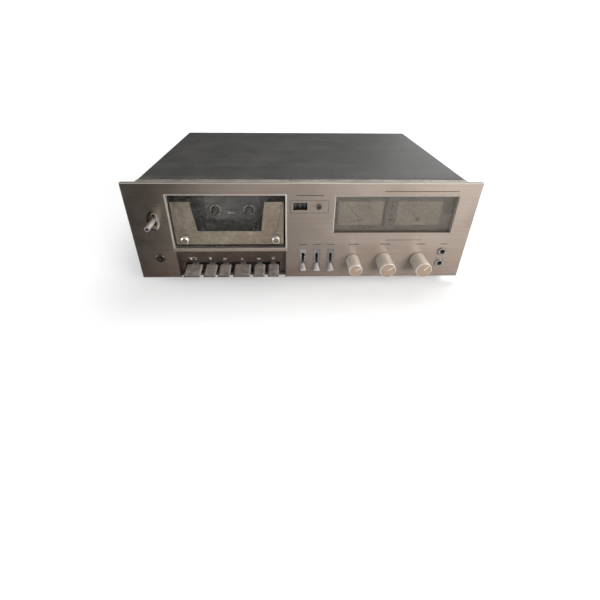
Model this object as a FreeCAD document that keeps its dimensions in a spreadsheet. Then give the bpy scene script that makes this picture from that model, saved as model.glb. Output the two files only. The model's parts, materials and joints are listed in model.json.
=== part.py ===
import FreeCAD, Part
import Sketcher
import math
import os
import re
from FreeCAD import Rotation, Vector

# Front-loading cassette deck for a stack of separate units. +X is to the right as the user faces it, +Y runs
# from the front panel to the rear, +Z is up. The origin is on the surface it stands on, under the middle of
# the overall depth. Lengths are millimetres, angles are degrees.
#
# SIZES are the driving dimensions. Heights named *_height or *_low belong to the front panel and count from
# its lower edge; depths named *_depth count from its front face.

SIZES = {
    # Case
    "panel_width": 420,
    "panel_tall": 131,
    "panel_thick": 5,
    "panel_bevel": 0.7,
    "panel_drop": 0.5,
    "foot_tall": 9.5,
    "foot_radius": 11,
    "foot_taper": 1.5,
    "foot_floor": 3,
    "foot_recess_gap": 1,
    "foot_side_inset": 32,
    "foot_front_depth": 34,
    "foot_rear_depth": 236,
    "case_width": 392,
    "case_depth": 270,
    "cover_depth": 18.3,
    "cover_sheet": 1,
    "cover_drop": 1,
    "cover_bend": 3,
    "cover_rim": 9,
    "subframe_gap": 0.8,
    "subframe_sheet": 1.2,
    "subframe_lip": 7,
    "subframe_drop": 1.8,
    "base_sheet": 1.2,
    "base_flange": 14,
    "rear_sheet": 1.2,
    "rim_screw_low": 15,
    "rim_screw_drop": 16,
    "sheet_gap": 0.2,
    "vent_long": 46,
    "vent_wide": 3.5,
    "vent_pitch": 9,
    "vent_count": 9,
    "vent_start_depth": 110,
    "screw_radius": 1.5,
    "screw_head_radius": 3,
    "screw_head_tall": 1.9,
    "screw_long": 7,
    "hole_gap": 0.15,
    "side_screw_height": 9,
    "side_screw_front_depth": 50,
    "side_screw_rear_depth": 245,
    # Cassette bay and door
    "bay_centre": -90.5,
    "bay_width": 143,
    "bezel_low": 40.5,
    "bezel_high": 117.8,
    "bezel_side": 2.2,
    "bezel_top": 1.8,
    "bezel_sill": 4.9,
    "bezel_proud": 1,
    "bezel_bevel": 0.5,
    "trim_gap": 0.1,
    "door_side_gap": 2.2,
    "door_low_gap": 2.4,
    "door_top_gap": 1,
    "window_thick": 2.6,
    "window_proud": 1.1,
    "plate_sheet": 1,
    "plate_rise": 2.2,
    "plate_drop": 8,
    "plate_band": 18,
    "cut_low_left": 39.1,
    "cut_low_right": 39.7,
    "cut_high_left": 44.2,
    "cut_high_right": 44.8,
    "stud_radius": 4.7,
    "stud_core_radius": 2,
    "stud_spacing": 112.1,
    "stud_shift": 1.65,
    "stud_rise": 8.7,
    "stud_proud": 5.4,
    "stud_edge": 1,
    "holder_sheet": 1,
    "holder_drop": 1,
    "holder_slot_margin": 1.5,
    "pivot_depth": 16,
    "pivot_height": 12,
    "pivot_radius": 2,
    "pivot_hub_radius": 3.6,
    "arm_sheet": 2,
    "arm_front_depth": 19.5,
    "running_gap": 0.05,
    # Cassette, as the bay takes it
    "hub_spacing": 42.5,
    "hub_shift": 1.95,
    "hub_height": 85.4,
    "hub_to_top": 29.5,
    "cassette_width": 100.4,
    "cassette_tall": 63.8,
    "cassette_thick": 12,
    "cassette_back_depth": 26.5,
    "cassette_play": 0.3,
    # Tape transport
    "transport_depth": 30,
    "transport_sheet": 1.5,
    "transport_low": 18,
    "transport_high": 122,
    "ear_depth": 45,
    "ear_root": 10,
    "pivot_pin_spare": 1,
    "trim_plate_thick": 1.4,
    "trim_plate_margin": 13.4,
    "trim_plate_low": 71.4,
    "trim_plate_high": 110,
    "spindle_hub_radius": 4,
    "spindle_tip_radius": 2.2,
    "spindle_fin_reach": 5.2,
    "spindle_fin_thick": 1.3,
    "spindle_flange_radius": 8,
    "spindle_flange_thick": 1.5,
    "spindle_long": 9.5,
    "spindle_shaft_radius": 2.5,
    "reel_disc_radius": 9,
    "reel_disc_thick": 5,
    "reel_disc_gap": 1,
    "capstan_shift": 27,
    "capstan_above_edge": 9.5,
    "capstan_radius": 1.25,
    "capstan_boss_radius": 4,
    "capstan_boss_long": 2.6,
    "flywheel_radius": 30,
    "flywheel_depth": 50,
    "flywheel_thick": 12,
    "flywheel_collar": 4,
    "flywheel_groove": 1,
    "capstan_tip_inset": 1,
    "capstan_end_play": 0.4,
    "bracket_depth": 66,
    "bracket_half_width": 10,
    "bracket_post_radius": 4,
    "bracket_post_gap": 4,
    "bracket_lip": 1,
    "motor_shift": -45,
    "motor_height": 46,
    "motor_radius": 17,
    "motor_long": 18,
    "motor_edge": 1,
    "motor_shaft_radius": 1,
    "motor_shaft_inset": 4,
    "pulley_radius": 5,
    "pulley_flange": 1.5,
    "pulley_flange_thick": 1.5,
    "belt_wide": 4,
    "belt_side_room": 1,
    "belt_thick": 0.8,
    "belt_gap": 0.32,
    "bridge_sheet": 1.2,
    "bridge_gap": 0.6,
    "bridge_low": 28,
    "bridge_high": 48,
    "bridge_half_width": 44,
    "bridge_travel": 8,
    "guide_radius": 2,
    "guide_spacing": 70,
    "guide_height": 42,
    "guide_gap": 0.4,
    "head_wide": 13,
    "head_tall": 10.5,
    "head_long": 11,
    "head_nose_radius": 3,
    "head_top": 48.5,
    "erase_shift": -21,
    "erase_wide": 9,
    "roller_radius": 6,
    "roller_long": 8,
    "roller_pin_radius": 1.2,
    "roller_shoulder": 1.2,
    "roller_shoulder_long": 1,
    "roller_pin_spare": 0.6,
    "roller_side_gap": 0.4,
    "roller_nip": 0.4,
    # Keys
    "key_panel_inset": 1,
    "key_panel_depth": 8.6,
    "key_panel_slot_high": 18.6,
    "key_panel_wall": 2.2,
    "key_panel_cheek": 1.5,
    "key_end_gap": 1.3,
    "key_panel_sill": 3.5,
    "key_row_shift": -62.1,
    "key_stop_width": 21.2,
    "key_record_gap": 4.2,
    "key_record_width": 15.6,
    "key_rewind_gap": 3,
    "key_rewind_width": 15.2,
    "key_play_gap": 4.3,
    "key_play_width": 22,
    "key_forward_gap": 3.8,
    "key_forward_width": 15,
    "key_pause_gap": 3.8,
    "key_pause_width": 14.6,
    "key_reach": 12.5,
    "key_front_height": 11.5,
    "key_rear_height": 15.3,
    "key_thick": 3,
    "key_front_tall": 2.4,
    "key_side_bevel": 1.8,
    "key_edge": 0.6,
    "key_stem_taper": 0.6,
    "key_stem_width": 6,
    "key_shaft_depth": 38,
    "key_shaft_height": 10.5,
    "key_shaft_radius": 2,
    "key_hub_radius": 3.6,
    # Power lever
    "power_side": 18.3,
    "power_height": 83,
    "power_reach": 22,
    "power_radius": 3,
    "power_neck": 2.5,
    "power_slot_tall": 14,
    "power_slot_wide": 2.8,
    "power_pivot_depth": 24,
    "dish_wide": 15,
    "dish_tall": 26,
    "dish_deep": 4.2,
    # Selector levers
    "lever_left_side": 20.3,
    "lever_middle_side": 37.9,
    "lever_right_side": 55.8,
    "lever_height": 26,
    "lever_reach": 13,
    "lever_stand_off": 2.6,
    "lever_pivot_depth": 30,
    "lever_rest_angle": 10,
    "lever_blade": 2.4,
    "lever_blade_tall": 5,
    "lever_neck": 3.4,
    "lever_tip_wide": 7.6,
    "lever_neck_tall": 6.2,
    "lever_edge_tall": 0.5,
    "lever_roof": 0.25,
    "surround_wide": 8.6,
    "surround_tall": 34,
    "surround_proud": 0.9,
    "surround_bevel": 0.4,
    "slot_wide": 3.2,
    "slot_tall": 23.6,
    "pin_radius": 1,
    "pivot_wall": 1,
    "switch_wall": 2,
    "switch_gap": 0.5,
    "switch_tall": 20,
    "switch_deep": 18,
    # Knobs
    "knob_reach": 27,
    "knob_gap": 1.2,
    "knob_bevel": 0.8,
    "knob_recess_radius": 6.6,
    "knob_recess": 3,
    "knob_pointer_wide": 0.9,
    "knob_pointer_deep": 0.35,
    "knob_height": 27.5,
    "output_knob_x": 65.8,
    "output_knob_radius": 8.25,
    "record_left_knob_x": 106,
    "record_right_knob_x": 151,
    "record_knob_radius": 10,
    "output_knob_angle": 56,
    "record_left_knob_angle": 51,
    "record_right_knob_angle": 40,
    "shaft_radius": 3,
    "bushing_radius": 3.7,
    "nut_radius": 5.6,
    "nut_tall": 1.6,
    "control_radius": 8,
    "control_long": 10,
    "control_end": 2,
    "shaft_end_gap": 0.5,
    # Jacks
    "jack_x": 181.3,
    "jack_lower_height": 21.8,
    "jack_spacing": 17.6,
    "jack_edge": 0.5,
    "phones_side": 28.9,
    "phones_height": 30.4,
    "jack_nut_radius": 5.7,
    "jack_barrel_radius": 4.6,
    "jack_bore_radius": 3.2,
    "jack_proud": 2,
    "jack_body_radius": 7,
    "jack_body_long": 18,
    # Level meters
    "meter_left": 38.6,
    "meter_low": 67.5,
    "meter_high": 114.5,
    "meter_bevel": 1.4,
    "meter_glass_depth": 2,
    "meter_glass_thick": 1.6,
    "meter_wall": 1.5,
    "meter_dial_depth": 11,
    "meter_case_deep": 26,
    "dial_sheet": 0.8,
    "dial_width": 56,
    "dial_low_edge": 4.5,
    "dial_high_edge": 10.8,
    "dial_left_margin": 6,
    "dial_right_margin": 11.5,
    "dial_works_inset": 6,
    "dial_works_drop": 10,
    "divider_left_gap": 2,
    "divider_right_gap": 0.6,
    "needle_rise": 12.5,
    "needle_long": 19,
    "needle_wide": 0.8,
    "needle_hub_radius": 2.4,
    "needle_rest_angle": 42,
    "needle_gap": 1.2,
    "divider_width": 14,
    "divider_depth": 7,
    "lamp_upper_rise": 33.3,
    "lamp_lower_rise": 14.8,
    "lamp_radius": 2.2,
    "lamp_proud": 1.4,
    "lamp_edge": 0.6,
    "lamp_long": 8,
    # Tape counter
    "counter_side": 15.85,
    "counter_width": 16.9,
    "counter_tall": 9.5,
    "counter_height": 102,
    "wheel_radius": 6.5,
    "wheel_pitch": 5.5,
    "wheel_gap": 0.4,
    "wheel_depth": 10.3,
    "wheel_shaft_radius": 1,
    "wheel_room": 0.8,
    "wheel_side_room": 0.5,
    "counter_wall": 1.4,
    "reset_side": 38.2,
    "reset_radius": 3.2,
    "reset_edge": 0.6,
    "reset_collar": 1,
    "reset_room": 0.2,
    "reset_wall": 2,
    "reset_proud": 3,
    "reset_travel": 2.5,
    "reset_stem_radius": 1.6,
    # Inside and rear
    "board_width": 210,
    "board_deep": 150,
    "board_sheet": 1.6,
    "board_right_inset": 22,
    "board_depth": 80,
    "board_post": 8,
    "board_post_radius": 4,
    "capacitor_radius": 6,
    "capacitor_tall": 22,
    "capacitor_step": 22,
    "capacitor_front": 97.5,
    "circuit_width": 20,
    "circuit_deep": 7,
    "circuit_tall": 4,
    "circuit_gap": 12,
    "core_width": 60,
    "core_deep": 50,
    "core_tall": 48,
    "core_x": -130,
    "core_depth": 205,
    "coil_margin": 9,
    "socket_x": 140,
    "socket_height": 70,
    "socket_pitch_wide": 20,
    "socket_pitch_tall": 16,
    "socket_radius": 4.1,
    "socket_pin_radius": 1.7,
    "socket_reach": 8,
    "socket_plate_thick": 2,
    "socket_plate_margin": 8,
    "grommet_x": -150,
    "grommet_height": 26,
    "grommet_radius": 8,
    "grommet_neck_radius": 6,
    "grommet_bore_radius": 3.4,
    "grommet_flange": 2.5,
    "grommet_taper": 1,
}

# PLACES are worked out from the sizes: planes, levels and centres that several pieces share.
PLACES = {
    "front": "knob_reach - (knob_reach + case_depth + socket_reach) / 2",
    "panel_back": "front + panel_thick",
    "low": "foot_tall - panel_drop",
    "top": "low + panel_tall",
    "case_back": "front + case_depth",
    "cover_front": "front + cover_depth",
    "cover_top": "top - cover_drop",
    "half_case": "case_width / 2",
    "pan_top": "foot_tall + base_sheet",
    "pan_half": "half_case - cover_sheet - sheet_gap",
    "subframe_front": "panel_back + subframe_gap",
    "subframe_top": "top - subframe_drop",
    "rear_face": "case_back - cover_sheet - sheet_gap",
    "rear_inner": "rear_face - rear_sheet",
    "bay_left": "bay_centre - bay_width / 2",
    "bay_right": "bay_centre + bay_width / 2",
    "door_left": "bay_left + bezel_side + door_side_gap",
    "door_right": "bay_right - bezel_side - door_side_gap",
    "door_low": "low + bezel_low + bezel_sill + door_low_gap",
    "door_high": "low + bezel_high - bezel_top - door_top_gap",
    "plate_low": "door_low + plate_rise",
    "plate_high": "door_high - plate_drop",
    "cut_low": "plate_low + plate_band",
    "stud_level": "plate_low + stud_rise",
    "stud_left": "bay_centre + stud_shift - stud_spacing / 2",
    "stud_right": "bay_centre + stud_shift + stud_spacing / 2",
    "window_front": "front - window_proud",
    "window_back": "window_front + window_thick",
    "plate_back": "window_back + plate_sheet",
    "holder_front": "plate_back",
    "web_back": "holder_front + holder_sheet",
    "reel_centre": "bay_centre + hub_shift",
    "supply_x": "reel_centre - hub_spacing / 2",
    "takeup_x": "reel_centre + hub_spacing / 2",
    "reel_level": "low + hub_height",
    "cassette_low": "reel_level + hub_to_top - cassette_tall",
    "cassette_back": "front + cassette_back_depth",
    "cassette_front": "cassette_back - cassette_thick",
    "holder_left": "reel_centre - cassette_width / 2 - cassette_play",
    "holder_right": "reel_centre + cassette_width / 2 + cassette_play",
    "holder_high": "plate_high - holder_drop",
    "shelf_top": "cassette_low - cassette_play",
    "pivot_y": "front + pivot_depth",
    "pivot_z": "low + pivot_height",
    "transport_front": "front + transport_depth",
    "transport_back": "transport_front + transport_sheet",
    "ear_left": "bay_left",
    "ear_right": "bay_right",
    "capstan_x": "reel_centre + capstan_shift",
    "capstan_z": "cassette_low + capstan_above_edge",
    "flywheel_front": "front + flywheel_depth",
    "flywheel_back": "flywheel_front + flywheel_thick",
    "motor_x": "reel_centre + motor_shift",
    "motor_z": "low + motor_height",
    "motor_back": "transport_back + motor_long",
    "bracket_front": "front + bracket_depth",
    "bridge_back": "transport_front - bridge_gap",
    "bridge_front": "bridge_back - bridge_sheet",
    "roller_z": "capstan_z - capstan_radius - roller_radius - roller_nip - bridge_travel",
    "roller_back": "bridge_front - roller_shoulder_long - roller_side_gap",
    "roller_front": "roller_back - roller_long",
    "key_panel_left": "bay_left + key_panel_inset",
    "key_panel_right": "bay_right - key_panel_inset",
    "key_panel_top": "low + bezel_low - trim_gap",
    "key_panel_back": "front + key_panel_depth + key_panel_wall",
    "key_shaft_y": "front + key_shaft_depth",
    "key_shaft_z": "low + key_shaft_height",
    "key_stop_left": "bay_centre + key_row_shift",
    "key_record_left": "key_stop_left + key_stop_width + key_record_gap",
    "key_rewind_left": "key_record_left + key_record_width + key_rewind_gap",
    "key_play_left": "key_rewind_left + key_rewind_width + key_play_gap",
    "key_forward_left": "key_play_left + key_play_width + key_forward_gap",
    "key_pause_left": "key_forward_left + key_forward_width + key_pause_gap",
    "power_x": "bay_left - power_side",
    "phones_x": "-panel_width / 2 + phones_side",
    "lever_left_x": "bay_right + lever_left_side",
    "lever_middle_x": "bay_right + lever_middle_side",
    "lever_right_x": "bay_right + lever_right_side",
    "counter_centre_x": "bay_right + counter_side",
    "reset_x": "bay_right + reset_side",
    "dial_low": "meter_low + dial_low_edge",
    "dial_high": "meter_high - dial_high_edge",
    "dial_left_x": "meter_left + dial_left_margin + dial_width / 2",
    "lamp_x": "dial_left_x + dial_width / 2 + divider_left_gap + divider_width / 2",
    "dial_right_x": "lamp_x + divider_width / 2 + divider_right_gap + dial_width / 2",
    "meter_right": "dial_right_x + dial_width / 2 + dial_right_margin",
    "needle_height": "meter_low + needle_rise",
    "jack_upper_height": "jack_lower_height + jack_spacing",
    "board_level": "pan_top + board_post",
    "board_right": "half_case - board_right_inset",
    "board_front": "front + board_depth",
}

WORD = re.compile(r"[a-z_][a-z_0-9]*")

doc = FreeCAD.newDocument("cassette_deck")
sheet = doc.addObject("Spreadsheet::Sheet", "Sizes")
for row, (alias, size) in enumerate(SIZES.items(), start=1):
    sheet.set(f"A{row}", alias)
    sheet.set(f"B{row}", str(size))
    sheet.setAlias(f"B{row}", alias)
doc.recompute()


# Rules: sizes written in words, turned into expressions of the sheet's cells

def rule(words):
    """The expression for a size written in words, with every place spelled out in cells."""
    def spell(found):
        word = found.group(0)
        if word in PLACES:
            return "(" + rule(PLACES[word]) + ")"
        return "Sizes." + word if word in SIZES else word
    return WORD.sub(spell, str(words))


def value(words):
    """The number that a rule gives now."""
    return float(sheet.evalExpression(rule(words)))


def tie(item, size, words):
    item.setExpression(size, rule(words))


def place(item, x=0, y=0, z=0):
    for axis, words in zip("xyz", (x, y, z)):
        tie(item, "Placement.Base." + axis, words)
    return item


def lean(item, axis, words):
    """Turns a piece about an axis by an angle from the sheet."""
    item.Placement.Rotation = Rotation(axis, value(words))
    tie(item, "Placement.Rotation.Angle", words)


# Part primitives

def block(name, x, y, z):
    """A box between a low and a high rule on each axis."""
    item = doc.addObject("Part::Box", name)
    for size, (start, end) in zip(("Length", "Width", "Height"), (x, y, z)):
        tie(item, size, f"({end}) - ({start})")
    return place(item, x[0], y[0], z[0])


TURN = {"X": Rotation(Vector(0, 1, 0), 90), "Y": Rotation(Vector(1, 0, 0), -90), "Z": Rotation()}


def rod(name, along, radius, start, end, a, b):
    """A cylinder along an axis, from start to end, with a and b its place on the other two axes in order."""
    item = doc.addObject("Part::Cylinder", name)
    tie(item, "Radius", radius)
    tie(item, "Height", f"({end}) - ({start})")
    item.Placement.Rotation = TURN[along]
    spots = {"X": (start, a, b), "Y": (a, start, b), "Z": (a, b, start)}
    return place(item, *spots[along])


def cut(name, base, tool):
    item = doc.addObject("Part::Cut", name)
    item.Base = base
    item.Tool = tool
    return item


def fuse(name, *items):
    item = doc.addObject("Part::MultiFuse", name)
    item.Shapes = list(items)
    return item


def group(name, members):
    """Identical pieces kept together as separate solids."""
    item = doc.addObject("Part::Compound", name)
    item.Links = list(members)
    return item


# PartDesign bodies

SIDES = {"XY": "XY_Plane", "XZ": "XZ_Plane", "YZ": "YZ_Plane"}


def new_body(name):
    return doc.addObject("PartDesign::Body", name)


def box_outline(left, right, low, high):
    return [(left, low), (right, low), (right, high), (left, high)]


def ring_outline(x, y, radius):
    return {"centre": (x, y), "radius": radius}


def draw(body, side, outlines, offset=0):
    """A sketch on one of the body's own planes, with every corner and radius tied to the sheet."""
    sketch = body.newObject("Sketcher::SketchObject", body.Name + "_outline")
    plane = next(item for item in body.Origin.OriginFeatures if item.Role == SIDES[side])
    sketch.AttachmentSupport = [(plane, "")]
    sketch.MapMode = "FlatFace"
    tie(sketch, "AttachmentOffset.Base.z", f"-({offset})" if side == "XZ" else offset)
    ties = []
    for outline in outlines:
        first = sketch.GeometryCount
        if isinstance(outline, dict):
            x, y = outline["centre"]
            centre = Vector(value(x), value(y), 0)
            sketch.addGeometry(Part.Circle(centre, Vector(0, 0, 1), value(outline["radius"])))
            ties.append(("DistanceX", (first, 3), x))
            ties.append(("DistanceY", (first, 3), y))
            ties.append(("Radius", (first,), outline["radius"]))
            continue
        spots = [Vector(value(x), value(y), 0) for x, y in outline]
        ends = spots[1:] + spots[:1]
        sketch.addGeometry([Part.LineSegment(*pair) for pair in zip(spots, ends)])
        for index, (x, y) in enumerate(outline):
            after = (index + 1) % len(outline)
            sketch.addConstraint(Sketcher.Constraint("Coincident", first + index, 2, first + after, 1))
            ties.append(("DistanceX", (first + index, 1), x))
            ties.append(("DistanceY", (first + index, 1), y))
    for kind, target, words in ties:
        index = sketch.addConstraint(Sketcher.Constraint(kind, *target, value(words)))
        tie(sketch, f"Constraints[{index}]", words)
    return sketch


def pad(body, side, outlines, start, end):
    """Material between two rules along the normal of a side."""
    feature = body.newObject("PartDesign::Pad", body.Name + "_pad")
    feature.Profile = draw(body, side, outlines, start)
    feature.Reversed = side == "XZ"
    tie(feature, "Length", f"({end}) - ({start})")
    body.Tip = feature
    return feature


def pocket(body, side, outlines, start, end):
    """A cut between two rules along the normal of a side."""
    feature = body.newObject("PartDesign::Pocket", body.Name + "_pocket")
    feature.Profile = draw(body, side, outlines, start)
    feature.Reversed = side != "XZ"
    tie(feature, "Length", f"({end}) - ({start})")
    body.Tip = feature
    return feature


def turned(name, outline, x, z):
    """A piece turned about an axis along Y at (x, z). Its outline is (radius, y) corners."""
    body = new_body(name)
    sketch = draw(body, "XY", [outline])
    feature = body.newObject("PartDesign::Revolution", name + "_turn")
    feature.Profile = sketch
    feature.ReferenceAxis = (sketch, ["V_Axis"])
    feature.Angle = 360
    body.Tip = feature
    return place(body, x, 0, z)


def near(first, second):
    return abs(first - second) < 0.01


def edges_where(shape, test):
    """Names of the edges whose middle, half way between their ends, passes a test."""
    names = []
    for index, edge in enumerate(shape.Edges, start=1):
        ends = edge.Vertexes
        if test((ends[0].Point + ends[-1].Point) * 0.5):
            names.append(f"Edge{index}")
    return names


def on_rim(spot, left, right, low, high):
    """Whether a place seen from the front lies on the outline of a rectangle given by rules."""
    left, right, low, high = (value(words) for words in (left, right, low, high))
    inside = left - 0.01 < spot.x < right + 0.01 and low - 0.01 < spot.z < high + 0.01
    return inside and (near(spot.x, left) or near(spot.x, right) or near(spot.z, low) or near(spot.z, high))


def soften(body, kind, size, words, test):
    """A chamfer or fillet on the edges of the body's tip that pass a test."""
    doc.recompute()
    tip = body.Tip
    feature = body.newObject("PartDesign::" + kind, body.Name + "_edge")
    feature.Base = (tip, edges_where(tip.Shape, test))
    tie(feature, size, words)
    body.Tip = feature
    return feature


# Case

def make_front_panel():
    body = new_body("front_panel")
    pad(body, "XZ", [box_outline("-panel_width / 2", "panel_width / 2", "low", "top")], "front", "panel_back")
    front = value("front")
    rim = ("-panel_width / 2", "panel_width / 2", "low", "top")
    soften(body, "Chamfer", "Size", "panel_bevel", lambda spot: near(spot.y, front) and on_rim(spot, *rim))
    openings = [
        box_outline("bay_left - trim_gap", "bay_right + trim_gap",
                    "low + bezel_low - trim_gap", "low + bezel_high + trim_gap"),
        box_outline("counter_centre_x - counter_width / 2", "counter_centre_x + counter_width / 2",
                    "low + counter_height - counter_tall / 2", "low + counter_height + counter_tall / 2"),
        ring_outline("reset_x", "low + counter_height", "reset_radius + trim_gap"),
        box_outline("meter_left", "meter_right", "low + meter_low", "low + meter_high"),
        box_outline("power_x - power_slot_wide / 2", "power_x + power_slot_wide / 2",
                    "low + power_height - power_slot_tall / 2", "low + power_height + power_slot_tall / 2"),
        ring_outline("phones_x", "low + phones_height", "jack_barrel_radius + trim_gap"),
    ]
    for x in LEVERS.values():
        openings.append(box_outline(f"{x} - slot_wide / 2", f"{x} + slot_wide / 2",
                                    "low + lever_height - slot_tall / 2",
                                    "low + lever_height + slot_tall / 2"))
    for x, radius, angle in KNOBS.values():
        openings.append(ring_outline(x, "low + knob_height", "bushing_radius + hole_gap"))
    for height in ("jack_upper_height", "jack_lower_height"):
        openings.append(ring_outline("jack_x", f"low + {height}", "jack_barrel_radius + trim_gap"))
    pocket(body, "XZ", openings, "front", "panel_back")
    keys = box_outline("key_panel_left - trim_gap", "key_panel_right + trim_gap",
                       "low - 1", "low + bezel_low + trim_gap")
    pocket(body, "XZ", [keys], "front", "panel_back")
    meter = ("meter_left", "meter_right", "low + meter_low", "low + meter_high")
    soften(body, "Chamfer", "Size", "meter_bevel", lambda spot: near(spot.y, front) and on_rim(spot, *meter))
    dish = body.newObject("PartDesign::SubtractiveEllipsoid", "front_panel_dish")
    tie(dish, "Radius1", "dish_deep")
    tie(dish, "Radius2", "dish_wide / 2")
    tie(dish, "Radius3", "dish_tall / 2")
    dish.Placement.Rotation = Rotation(Vector(1, 0, 0), 90)
    place(dish, "power_x", "front", "low + power_height")
    body.Tip = dish


LEVERS = {"left": "lever_left_x", "middle": "lever_middle_x", "right": "lever_right_x"}

KNOBS = {
    "output": ("output_knob_x", "output_knob_radius", "output_knob_angle"),
    "record_left": ("record_left_knob_x", "record_knob_radius", "record_left_knob_angle"),
    "record_right": ("record_right_knob_x", "record_knob_radius", "record_right_knob_angle"),
}

KEYS = ("stop", "record", "rewind", "play", "forward", "pause")


def make_subframe():
    """A folded ring behind the panel, interrupted below the cassette bay where the keys come through."""
    body = new_body("front_subframe")
    outer = box_outline("-half_case", "half_case", "foot_tall", "subframe_top")
    sheet_inner = box_outline("-half_case + subframe_sheet", "half_case - subframe_sheet",
                              "foot_tall + subframe_sheet", "subframe_top - subframe_sheet")
    lip_inner = box_outline("-half_case + subframe_lip", "half_case - subframe_lip",
                            "foot_tall + subframe_lip", "subframe_top - subframe_lip")
    pad(body, "XZ", [outer, sheet_inner], "subframe_front", "cover_front - sheet_gap")
    pad(body, "XZ", [outer, lip_inner], "subframe_front", "subframe_front + subframe_sheet")
    bay = box_outline("bay_left - subframe_sheet", "bay_right + subframe_sheet",
                      "foot_tall - 1", "low + bezel_low")
    pocket(body, "XZ", [bay], "subframe_front", "cover_front")


SCREW_DEPTHS = ("side_screw_front_depth", "side_screw_rear_depth")
SIDE_SCREW_LEVEL = "foot_tall + side_screw_height"
FOOT_SPOTS = [(f"{side} * (half_case - foot_side_inset)", f"front + {depth}")
              for side in (-1, 1) for depth in ("foot_front_depth", "foot_rear_depth")]
RIM_SPOTS = [(f"{side} * (half_case - cover_sheet - cover_rim / 2)", level)
             for side in (-1, 1) for level in ("foot_tall + rim_screw_low", "cover_top - rim_screw_drop")]


def rounded_hood(name, half, low, top, start, back, bend):
    """A solid block whose upper and rear edges are rounded, as the outside or the inside of a hood."""
    body = new_body(name)
    pad(body, "XZ", [box_outline(f"-({half})", half, low, top)], start, back)
    side, level, rear = value(half), value(top), value(back)
    bends = lambda spot: (near(abs(spot.x), side) and near(spot.z, level)
                          or near(spot.y, rear) and (near(abs(spot.x), side) or near(spot.z, level)))
    soften(body, "Fillet", "Radius", bend, bends)
    return body


def make_top_cover():
    """A folded hood: top, two sides and a narrow rim round the open rear."""
    outer = rounded_hood("cover_outer", "half_case", "foot_tall", "cover_top", "cover_front", "case_back",
                         "cover_bend")
    inner = rounded_hood("cover_inner", "half_case - cover_sheet", "foot_tall - 1", "cover_top - cover_sheet",
                         "cover_front - 1", "case_back - cover_sheet", "cover_bend - cover_sheet")
    tools = [inner, block("cover_rear_opening", ("-half_case + cover_rim", "half_case - cover_rim"),
                          ("case_back - cover_bend - cover_sheet", "case_back + 1"),
                          ("foot_tall - 1", "cover_top - cover_rim"))]
    for index, depth in enumerate(SCREW_DEPTHS):
        tools.append(rod(f"cover_side_hole_{index}", "X", "screw_radius + hole_gap", "-half_case - 1",
                         "half_case + 1", f"front + {depth}", SIDE_SCREW_LEVEL))
    for index, (x, z) in enumerate(RIM_SPOTS):
        tools.append(rod(f"cover_rim_hole_{index}", "Y", "screw_radius + hole_gap",
                         "case_back - cover_sheet - 1", "case_back + 1", x, z))
    cut("top_cover", outer, fuse("cover_tools", *tools))


def make_base_pan():
    body = new_body("base_pan")
    front = "cover_front + sheet_gap"
    back = "rear_inner - sheet_gap"
    pad(body, "XY", [box_outline("-pan_half", "pan_half", front, back)], "foot_tall", "pan_top")
    for left, right in (("-pan_half", "-pan_half + base_sheet"), ("pan_half - base_sheet", "pan_half")):
        pad(body, "XY", [box_outline(left, right, front, back)], "foot_tall", "foot_tall + base_flange")
    posts = [ring_outline(x, y, "board_post_radius")
             for x in ("board_right - board_width + board_post", "board_right - board_post")
             for y in ("board_front + board_post", "board_front + board_deep - board_post")]
    pad(body, "XY", posts, "foot_tall", "board_level")
    holes = [ring_outline(x, y, "screw_radius + hole_gap") for x, y in FOOT_SPOTS]
    pocket(body, "XY", holes, "foot_tall - 1", "pan_top + 1")
    side_holes = [ring_outline(f"front + {depth}", SIDE_SCREW_LEVEL, "screw_radius + hole_gap")
                  for depth in SCREW_DEPTHS]
    pocket(body, "YZ", side_holes, "-pan_half - 1", "pan_half + 1")
    vent = box_outline("core_x - vent_long / 2", "core_x + vent_long / 2",
                       "front + vent_start_depth", "front + vent_start_depth + vent_wide")
    slot = pocket(body, "XY", [vent], "foot_tall - 1", "pan_top + 1")
    row = body.newObject("PartDesign::LinearPattern", "base_pan_vents")
    row.Originals = [slot]
    row.Direction = (slot.Profile[0], ["V_Axis"])
    tie(row, "Length", "vent_pitch * (vent_count - 1)")
    tie(row, "Occurrences", "vent_count")
    body.Tip = row


def make_rear_panel():
    body = new_body("rear_panel")
    outline = box_outline("-pan_half + cover_bend", "pan_half - cover_bend",
                          "foot_tall", "cover_top - cover_sheet - cover_bend")
    holes = [ring_outline(x, z, "socket_radius + hole_gap") for x, z in SOCKET_SPOTS]
    holes.append(ring_outline("grommet_x", "low + grommet_height", "grommet_neck_radius + running_gap"))
    holes += [ring_outline(x, z, "screw_radius + hole_gap") for x, z in RIM_SPOTS]
    pad(body, "XZ", [outline], "rear_inner", "rear_face")
    pocket(body, "XZ", holes, "rear_inner - 1", "rear_face + 1")


SOCKET_SPOTS = [(f"socket_x + {across} * socket_pitch_wide / 2",
                 f"low + socket_height + {up} * socket_pitch_tall / 2")
                for across in (-1, 1) for up in (-1, 1)]


def make_feet():
    """Four tapered feet with a recess below for the screw that holds each."""
    feet = []
    for index, (x, y) in enumerate(FOOT_SPOTS):
        cone = doc.addObject("Part::Cone", f"foot_cone_{index}")
        tie(cone, "Radius1", "foot_radius - foot_taper")
        tie(cone, "Radius2", "foot_radius")
        tie(cone, "Height", "foot_tall")
        place(cone, x, y, 0)
        recess = rod(f"foot_recess_{index}", "Z", "screw_head_radius + foot_recess_gap",
                     -1, "foot_tall - foot_floor", x, y)
        hole = rod(f"foot_hole_{index}", "Z", "screw_radius + hole_gap", -1, "foot_tall + 1", x, y)
        feet.append(cut(f"foot_{index}", cone, fuse(f"foot_tool_{index}", recess, hole)))
    group("feet", feet)


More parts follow.
